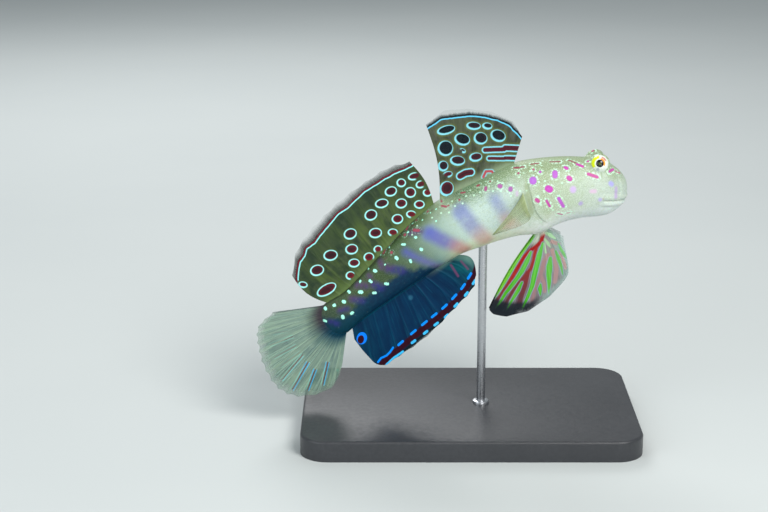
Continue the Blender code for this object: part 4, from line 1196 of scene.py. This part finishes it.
def make_second_dorsal(material):
    ends = upright(SECOND_DORSAL, SECOND_DORSAL_BASE, 0)
    middle, u, v = fin_grid(264, 116, *ends, lambda u: 1.2 * (1 - u) ** 6 - 1.6 * u ** 3,
                            SECOND_DORSAL_RAYS, depth=0.4)
    where = photo(middle)
    core, ring, there, red = eyespots(where, SECOND_DORSAL_SPOTS, SECOND_DORSAL_SHIFT)
    make_fin("second_dorsal", "dorsal_fin_second", "dorsal_fins", material, middle, u, v,
             rays(u, v, SECOND_DORSAL_RAYS, 0.4), core=core, ring=ring, there=there, red=red,
             line=line_side(where, SECOND_DORSAL_LINE), squiggle=np.full(u.shape, FAR))


def make_anal(material):
    ends = upright(ANAL, ANAL_BASE, 180)
    middle, u, v = fin_grid(220, 104, *ends, lambda u: -3.0 * (1 - u) ** 4, ANAL_RAYS, depth=0.3)
    where = photo(middle)
    inner = nearest_stroke(where, (*dashes(ANAL_INNER, 5.6, 2.5), *ANAL_INNER_CHAIN))
    outer = nearest_stroke(where, (*dashes(ANAL_OUTER, 3.8, 2.6), *ANAL_OUTER_CHAIN))
    make_fin("anal", "anal_fin", "anal_fin", material, middle, u, v, rays(u, v, ANAL_RAYS, 0.4),
             inner=inner, outer=outer, band=-line_side(where, ANAL_BAND),
             ring=ellipse_distance(where, *ANAL_RING), core=ellipse_distance(where, *ANAL_CORE),
             streak=nearest_stroke(where, ANAL_STREAKS),
             tick=nearest_stroke(where, ANAL_TICKS), blotch=nearest_stroke(where, ANAL_BLOTCH))


def make_caudal(material):
    middle, u, v = fin_grid(240, 100, tail_root, lambda u: median(*interpolate(CAUDAL, u)),
                            lambda u: 0 * u, CAUDAL_RAYS, depth=0.5)
    where = photo(middle)
    pair, bright = np.full(u.shape, FAR), np.zeros(u.shape)
    for brightness, *ends in CAUDAL_PAIRS:
        away, run = stroke_distance(where, ends, 0.0)
        open_ended = smoothstep(0.0, 0.05, run) * (1 - smoothstep(0.95, 1.0, run))
        fading = 1 - 0.6 * run * (line_side(where, ends) > 0)
        bright = np.where(away < pair, brightness * open_ended * fading, bright)
        pair = np.minimum(pair, away)
    make_fin("caudal", "caudal_fin", "caudal_fin", material, middle, u, v,
             rays(u, v, CAUDAL_RAYS, 0.3, 0.6), flesh=0.9, pair=pair, bright=bright,
             dot=nearest_stroke(where, CAUDAL_DOT))


def make_pectoral(side, name, material):
    """A half closed fan that leaves the flank and bends back along it."""
    u, v = np.meshgrid(np.linspace(0, 1, 240), np.linspace(0, 1, 100), indexing="ij")
    angle = -side * (PECTORAL_TOP + (PECTORAL_BOTTOM - PECTORAL_TOP) * u)
    start = skin(PECTORAL_STATION, angle, -FIN_SUNK)
    droop = np.stack((0 * u, 0 * u, PECTORAL_DROOP * (1 - u)), -1)
    bend = skin(PECTORAL_STATION, angle, PECTORAL_STAND_OFF) - droop
    end = median(*interpolate(PECTORAL, u), side)
    k = v[..., None]
    middle = (start * (1 - k) + bend * k) * (1 - k) + (bend * (1 - k) + end * k) * k
    make_fin("pectoral_" + name, "pectoral_fin_" + name, "pectoral_fins", material, middle, u, v,
             rays(u, v, PECTORAL_RAYS, 0.35, 0.7), flesh=1.0, thin=0.6)


def pelvic_surface(side):
    """Points over a pelvic fin, from the belly to its margin."""
    u, v = np.meshgrid(np.linspace(0, 1, 150), np.linspace(0, 1, 140), indexing="ij")
    x, out = (low + (high - low) * u for low, high in (PELVIC_BASE_X, PELVIC_BASE_OUT))
    start = median(x, under(x, *PELVIC_UNDER) + FIN_SUNK, out, side)
    end = median(*interpolate(PELVIC, u), side)
    k = v[..., None]
    bow = np.array(PELVIC_BOW) * ((1 - u) ** 3 * np.sin(math.pi * v))[..., None]
    return start * (1 - k) + end * k + bow, u, v


def make_pelvic(side, name, material):
    middle, u, v = pelvic_surface(side)
    where = photo(pelvic_surface(-1)[0])
    stripe, hue = np.full(u.shape, FAR), np.zeros(u.shape)
    for width, first, last, *points in PELVIC_STRIPES:
        away, run = stroke_distance(where, points, width)
        hue = np.where(away < stripe, first + (last - first) * run, hue)
        stripe = np.minimum(stripe, away)
    middle = scallop(middle, u, v, PELVIC_RAYS, 0.35)
    make_fin("pelvic_" + name, "pelvic_fin_" + name, "pelvic_fins", material, middle, u, v,
             rays(u, v, PELVIC_RAYS, 0.25, 0.55), flesh=0.8, green=ribbons(where, PELVIC_GREEN),
             pale=ribbons(where, PELVIC_PALE_GREEN), stripe=stripe, hue=hue,
             tip=line_side(where, PELVIC_TIP))


def under(x, first, last, count):
    """Height of the plain body's underside at a place along it, read between two stations."""
    below = skin(np.linspace(first, last, count), 180.0)
    order = np.argsort(below[:, 0])
    return np.interp(x, below[order, 0], below[order, 2])


def dorsal_finish(name, dark, light, wisp, dusk, foot, halo, core_dark, core_red, ring, line, rim, veil,
                  band, reach):
    """Spotted dorsal fin: membrane, ringed spots, a bright line, and a dark band fading into a veil."""
    f = Finish(name, 0.45, IOR=1.36, Specular_IOR_Level=0.25)
    where = f.place("fin_map")
    streak, thread, grain = f.streaks(14.0, 1.6), f.streaks(70.0, 2.5), f.noise(where, 0.55, 4.0)
    f.base = f.mix(f.step(streak, 0.4, 0.62), dark, light)
    f.coat(wisp, grain, 0.42, 0.68, 0.6)
    f.coat(dark, thread, 0.4, 0.7, 0.4)
    f.coat(light, f.times("ray", 0.25))
    f.coat(dark, "height", 0.4, 0.75, dusk)
    f.coat(foot, "height", 0.2, 0.02, 0.8)
    f.coat(foot, f.times(f.step("height", 0.34, 0.08), f.step("along", 0.55, 0.05), 0.75))
    f.coat(halo, f.times(f.step("ring", 2.6, 0.3), "there", 0.6))
    core = f.mix("red", core_dark, core_red)
    core = f.mix(f.step("core", -1.2, -3.0, 0.0, 0.65), core, core_dark)
    f.coat(ring, f.times(f.step("ring", 0.35, -0.35), "there"))
    f.coat(core, "core", 0.35, -0.35)
    f.coat(ring, "squiggle", 1.2, 0.4, 0.7)
    f.coat((176, 76, 84), "squiggle", 0.1, -0.7)
    wavy = f.add("line", f.swing(streak, 1.6))
    f.coat(rim, wavy, 0.5, 1.1)
    f.coat(veil, wavy, band, band + 1.6)
    f.coat(line, f.calc("ABSOLUTE", wavy), 0.85, 0.38)
    worn = f.add("line", f.times(thread, -2.0))
    clear = f.times(f.step(worn, band - 1.2, band + 0.6, 1.0, 0.62),
                    f.step(worn, band - 0.4, reach, 1.0, 0.08))
    f.relief(f.noise(where, 3.0), 0.05, 0.4)
    return f.done(Alpha=f.calc("MINIMUM", clear, f.step("height", 0.1, 0.3, 1.0, 0.94)))


def anal_finish():
    f = Finish("anal_fin_membrane", 0.42, IOR=1.36, Specular_IOR_Level=0.15)
    where = f.place("fin_map")
    grain, streak, thread = f.noise(where, 0.35), f.streaks(20.0, 1.2), f.streaks(90.0, 2.0)
    f.base = f.mix(f.step("along", 0.02, 0.26), (4, 92, 96), (0, 45, 78))
    f.coat((2, 60, 80), "along", 0.7, 1.0, 0.6)
    f.coat((0, 32, 64), streak, 0.4, 0.66, 0.7)
    f.coat((0, 32, 64), grain, 0.4, 0.7, 0.4)
    f.coat((10, 88, 112), thread, 0.5, 0.75, 0.3)
    f.coat((14, 90, 120), f.times("ray", 0.14))
    f.coat((14, 104, 124), f.times(f.step("height", 0.1, 0.02), 0.5))
    f.coat((150, 180, 160), f.times(f.step("height", 0.22, 0.03), f.step("along", 0.32, 0.05), 0.7))
    f.coat((130, 168, 152), f.times(f.step("height", 0.95, 0.4), f.step("along", 0.08, 0.0), 0.6))
    f.coat((60, 130, 160), "blotch", 1.5, -1.0, 0.35)
    f.coat((120, 62, 104), "streak", 1.0, -0.4, 0.6)
    across = f.calc("ABSOLUTE", "band")
    f.coat((48, 8, 26), across, 4.0, 2.2)
    f.coat((6, 26, 34), "band", 2.6, 4.2)
    f.coat((0, 140, 255), "inner", 0.3, -0.35)
    f.coat((64, 190, 250), "outer", 0.3, -0.35)
    f.coat((0, 110, 230), "tick", 0.3, -0.3)
    f.coat((6, 128, 255), "ring", 0.3, -0.35)
    f.coat((48, 10, 26), "core", 0.35, -0.35)
    clear = f.step(f.add("band", f.times(thread, -1.5)), 4.2, 8.0, 1.0, 0.12)
    f.relief(f.noise(where, 2.2), 0.05, 0.4)
    return f.done(Alpha=f.calc("MAXIMUM", clear, f.step("outer", 0.5, -0.2)))


def caudal_finish():
    f = Finish("caudal_fin_membrane", 0.42, IOR=1.36, Specular_IOR_Level=0.3)
    where = f.place("fin_map")
    grain, streak, thread = f.noise(where, 0.4), f.streaks(34.0, 1.0), f.streaks(110.0, 2.0)
    f.base = f.mix(f.step(grain, 0.35, 0.7), (120, 150, 134), (98, 130, 120))
    f.coat((146, 174, 148), streak, 0.42, 0.62, 0.8)
    f.coat((76, 106, 100), thread, 0.46, 0.7, 0.65)
    joints = f.calc("SINE", f.times("height", 260.0))
    pale = f.mix(f.step(joints, -0.2, 0.6), (164, 190, 172), (134, 162, 148))
    f.coat(pale, "ray", 0.15, 0.6, 0.5)
    f.coat((70, 84, 84), "along", 0.03, 0.0, 0.8)
    between = f.times(f.step("pair", 1.3, 0.5), f.step("bright", 0.0, 0.9, 0.0, 0.9))
    f.coat((104, 76, 72), between)
    line = f.step(f.calc("ABSOLUTE", f.calc("SUBTRACT", "pair", CAUDAL_PAIR_SPREAD)), 0.8, 0.25)
    glow = f.mix(f.step("bright", 0.6, 0.9), (142, 208, 190), (76, 184, 226))
    f.coat(glow, f.times(line, f.step("bright", 0.0, 0.8, 0.0, 0.95)))
    f.coat((112, 170, 150), "dot", 0.5, -0.6, 0.6)
    root = f.step(f.add("height", f.times(thread, 0.16)), 0.42, 0.1)
    f.coat(f.mix(f.step("along", 0.3, 0.7), (58, 50, 58), (4, 58, 78)), root)
    clear = f.add(f.step("height", 0.1, 0.32, 1.0, 0.66), f.times("ray", 0.25))
    clear = f.times(clear, f.step("height", 0.84, 1.0, 1.0, 0.45))
    f.relief(f.add(f.times(joints, "ray", 0.5), grain), 0.04, 0.5)
    return f.done(Alpha=f.calc("MINIMUM", clear, 1.0))


def pectoral_finish():
    f = Finish("pectoral_fin_membrane", 0.38, IOR=1.36)
    streak, thread = f.streaks(7.0, 1.0), f.streaks(40.0, 3.0)
    f.base = f.mix(f.step(streak, 0.4, 0.65), (152, 168, 118), (178, 192, 144))
    f.coat((196, 208, 168), thread, 0.45, 0.7, 0.4)
    f.coat((126, 138, 92), "ray", 0.2, 0.7, 0.45)
    f.coat((206, 158, 140), f.times(f.step("height", 0.5, 0.68), f.step("height", 0.95, 0.8),
                                    f.step("along", 0.3, 0.6), 0.55))
    f.coat((184, 198, 160), "height", 0.2, 0.04)
    f.coat((124, 134, 94), f.times(f.step("along", 0.05, 0.0), f.step("height", 0.1, 0.4), 0.5))
    clear = f.add(f.step("height", 0.08, 0.45, 1.0, 0.36), f.times("ray", 0.3))
    clear = f.times(clear, f.step("along", 0.3, 0.95, 1.0, 0.5))
    clear = f.add(clear, f.step("along", 0.05, 0.0, 0.0, 0.3))
    f.relief("ray", 0.06, 0.6)
    return f.done(Alpha=f.calc("MINIMUM", clear, 1.0))


def pelvic_finish():
    f = Finish("pelvic_fin_membrane", 0.42, IOR=1.36, Specular_IOR_Level=0.3)
    where = f.place("fin_map")
    grain, thread = f.noise(where, 0.5), f.streaks(60.0, 2.0)
    f.base = f.mix(f.step("along", 0.12, 0.6), (96, 72, 84), (140, 130, 132))
    f.coat((84, 66, 78), "height", 0.4, 0.9, 0.5)
    f.coat((144, 176, 164), "along", 0.66, 0.92, 0.9)
    f.coat((166, 168, 170), thread, 0.42, 0.7, 0.4)
    root = f.times(f.step("height", 0.22, 0.08, 0.0, 0.85), f.step("along", 0.45, 0.25))
    f.coat((204, 218, 196), root)
    stripe = f.ramp("hue", (0.0, (152, 16, 14)), (0.12, (162, 34, 32)), (0.3, (130, 42, 40)),
                    (0.5, (82, 48, 58)), (0.75, (148, 116, 118)), (1.0, (176, 142, 138)))
    f.coat(stripe, "stripe", 0.9, -0.5)
    f.coat((140, 162, 186), "green", 1.2, 0.2, 0.6)
    lime = f.mix(f.step("along", 0.45, 0.95), (62, 160, 16), (106, 170, 100))
    lime = f.mix(f.step("height", 0.7, 0.3, 0.0, 0.6), lime, (98, 176, 84))
    lime = f.mix(f.step("along", 0.1, 0.0, 0.0, 0.6), lime, (126, 196, 44))
    # brighter core of the wide green stripes: a painted highlight
    lime = f.mix(f.step("green", -0.7, -2.2, 0.0, 0.45), lime, (100, 182, 66))
    lime = f.mix(f.step(thread, 0.45, 0.7, 0.0, 0.25), lime, (132, 204, 108))
    f.coat(lime, "green", 0.4, -0.4)
    f.coat((158, 204, 150), "pale", 0.6, -0.8, 0.8)
    front = f.step("along", 0.42, 0.56)
    f.coat((132, 160, 152), f.times(front, f.step("height", 0.85, 0.98, 0.0, 0.75)))
    rear = f.step("along", 0.42, 0.56, 1.0, 0.0)
    dusk = f.times(f.step("tip", -2.5, 3.0), f.step("green", -1.4, 0.4, 0.45, 0.95), rear)
    f.coat((14, 24, 32), dusk)
    f.coat((14, 24, 32), f.times(f.step("tip", 3.5, 8.0, 0.0, 0.85), rear))
    f.coat((216, 226, 206), "height", 0.1, 0.01)
    clear = f.add(f.step("along", 0.55, 0.95, 0.95, 0.5), f.times("ray", 0.2))
    clear = f.calc("MAXIMUM", clear, f.times(f.step(f.calc("MINIMUM", "green", "pale"), 0.6, -0.4), 0.9))
    thin = f.calc("MAXIMUM", f.step("height", 0.93, 1.0, 1.0, 0.6), f.step("along", 0.4, 0.25))
    clear = f.times(clear, thin, f.step("along", 0.9, 1.0, 1.0, 0.5))
    f.relief(grain, 0.05, 0.4)
    return f.done(Alpha=f.calc("MINIMUM", clear, 1.0))


# Stand

def base_finish():
    f = Finish("stand_satin", 0.4)
    where = f.node("TexCoord").outputs["Object"]
    grain = f.noise(where, 900.0, 4.0)
    cloud = f.noise(where, 40.0)
    f.base = f.mix(grain, (44, 46, 50), (62, 64, 68))
    f.coat((34, 36, 40), cloud, 0.3, 0.8, 0.4)
    f.relief(grain, 0.04, 0.5)
    return f.done(Roughness=f.step(grain, 0.2, 0.8, 0.34, 0.5))


def rod_finish():
    f = Finish("stand_steel", 0.28, Metallic=1.0)
    where = f.node("TexCoord").outputs["Object"]
    brushed = f.noise(f.stretch(where, 900.0, 900.0, 12000.0), 1.0, 3.0)
    f.base = f.mix(brushed, (206, 208, 212), (166, 168, 172))
    f.relief(brushed, 0.01, 0.3)
    return f.done(Roughness=f.step(brushed, 0.3, 0.7, 0.22, 0.4))


def make_base(material):
    bm = bmesh.new()
    bmesh.ops.create_cube(bm, size=1.0)
    for vert in bm.verts:
        vert.co = Vector((vert.co.x * BASE_LENGTH, vert.co.y * BASE_WIDTH,
                          (vert.co.z + 0.5) * BASE_THICKNESS)) * MM
    corners = [e for e in bm.edges if abs(e.verts[0].co.z - e.verts[1].co.z) > 0.001]
    bmesh.ops.bevel(bm, geom=corners, offset=BASE_CORNER * MM, segments=16, profile=0.5, affect="EDGES")
    rim = [e for e in bm.edges if all(abs(v.co.z - BASE_THICKNESS * MM) < 1e-6 for v in e.verts)]
    bmesh.ops.bevel(bm, geom=rim, offset=BASE_EDGE * MM, segments=5, profile=0.5, affect="EDGES")
    mesh = bpy.data.meshes.new("base_plate")
    bm.to_mesh(mesh)
    bm.free()
    mesh.shade_smooth()
    mesh.set_sharp_from_angle(angle=math.radians(35))
    mesh.materials.append(material)
    piece = bpy.data.objects.new("base_plate", mesh)
    bpy.context.scene.collection.objects.link(piece)
    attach(piece, "root")
    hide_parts("stand_base")


def make_rod(material):
    """Rod with a low collar where it enters the base, its top just inside the flesh."""
    turn = np.radians(np.arange(0, 360, 7.5))
    top = float(under(ROD_X, *ROD_UNDER)) + ROD_SUNK
    profile = [(radius, BASE_THICKNESS + height) for radius, height in ROD_FOOT]
    profile += [(ROD_RADIUS, top), (ROD_CORE, top + 0.2)]
    rings = np.array([[(ROD_X + r * math.cos(t), sway(ROD_X) - r * math.sin(t), z) for t in turn[::-1]]
                      for r, z in profile])
    ends = [np.array((ROD_X, sway(ROD_X), z)) for z in (profile[0][1], profile[-1][1])]
    piece = build_round("support_rod", rings, *ends, {}, material, "stand_rod", "stand_rod")
    piece.data.set_sharp_from_angle(angle=math.radians(35))


# Stage

def lamp(name, kind, place, aim, power, colour=(1.0, 1.0, 1.0), **settings):
    light = bpy.data.lights.new(name, kind)
    light.energy = power
    light.color = colour
    for setting, value in settings.items():
        setattr(light, setting, value)
    holder = bpy.data.objects.new(name, light)
    holder.location = place
    holder.rotation_euler = (Vector(aim) - Vector(place)).to_track_quat("-Z", "Y").to_euler()
    bpy.context.scene.collection.objects.link(holder)


def make_stage():
    mesh = bpy.data.meshes.new("floor")
    bm = bmesh.new()
    bmesh.ops.create_grid(bm, x_segments=2, y_segments=2, size=6.0)
    bm.to_mesh(mesh)
    bm.free()
    floor = bpy.data.objects.new("floor", mesh)
    bpy.context.scene.collection.objects.link(floor)
    f = Finish("pale_floor", 0.85)
    where = f.node("TexCoord").outputs["Object"]
    f.base = f.mix(f.noise(where, 6.0), (196, 202, 202), (206, 211, 210))
    mesh.materials.append(f.done())

    world = bpy.data.worlds.new("studio")
    world.use_nodes = True
    sky = world.node_tree.nodes["Background"].inputs
    sky["Color"].default_value, sky["Strength"].default_value = srgb(214, 222, 226), 0.5
    bpy.context.scene.world = world
    middle = AIM * MM
    disc = {"kind": "AREA", "aim": middle, "shape": "DISK"}
    lamp("key", place=(0.28, -0.42, 0.52), power=4.0, colour=(1.0, 0.98, 0.95), size=0.34, **disc)
    lamp("fill", place=(-0.5, -0.4, 0.3), power=1.6, colour=(0.93, 0.97, 1.0), size=0.5, **disc)
    lamp("rim", place=(-0.15, 0.55, 0.5), power=2.2, size=0.4, **disc)
    lamp("front", "SPOT", (0.16, -0.56, 0.07), middle, 3.2, shadow_soft_size=0.15,
         spot_size=math.radians(36), spot_blend=1.0)


def make_camera():
    """Camera that sees the fish from the photograph's side, height and distance."""
    data = bpy.data.cameras.new("camera")
    data.sensor_width = SENSOR_WIDTH
    data.lens = FOCAL_PIXELS / FRAME_WIDTH * SENSOR_WIDTH
    data.clip_start = 0.01
    camera = bpy.data.objects.new("camera", data)
    camera.location = VIEWPOINT * MM
    camera.rotation_euler = (math.pi / 2 - ELEVATION, 0.0, 0.0)
    bpy.context.scene.collection.objects.link(camera)
    bpy.context.scene.camera = camera


def main():
    make_camera()
    bpy.context.scene.view_settings.view_transform = "Standard"
    make_stage()
    make_skin(skin_finish())
    sides = ((-1, "right"), (1, "left"))
    eyes = eye_finish()
    for side, name in sides:
        make_eye(side, name, eyes)
    make_first_dorsal(dorsal_finish(
        "first_dorsal_membrane", dark=(50, 57, 42), light=(77, 85, 62), wisp=(88, 90, 84), dusk=0.0,
        foot=(138, 158, 126), halo=(98, 110, 48), core_dark=(8, 22, 30), core_red=(92, 26, 40),
        ring=(134, 212, 226), line=(98, 204, 242), rim=(12, 14, 22), veil=(40, 60, 60),
        band=1.4, reach=4.2))
    make_second_dorsal(dorsal_finish(
        "second_dorsal_membrane", dark=(40, 57, 40), light=(76, 96, 46), wisp=(74, 88, 58), dusk=0.55,
        foot=(90, 112, 62), halo=(66, 82, 38), core_dark=(30, 22, 28), core_red=(108, 22, 36),
        ring=(162, 236, 234), line=(150, 234, 236), rim=(104, 22, 38), veil=(34, 46, 40),
        band=1.8, reach=9.0))
    make_anal(anal_finish())
    make_caudal(caudal_finish())
    pectoral, pelvic = pectoral_finish(), pelvic_finish()
    for side, name in sides:
        make_pectoral(side, name, pectoral)
        make_pelvic(side, name, pelvic)
    make_base(base_finish())
    make_rod(rod_finish())


main()
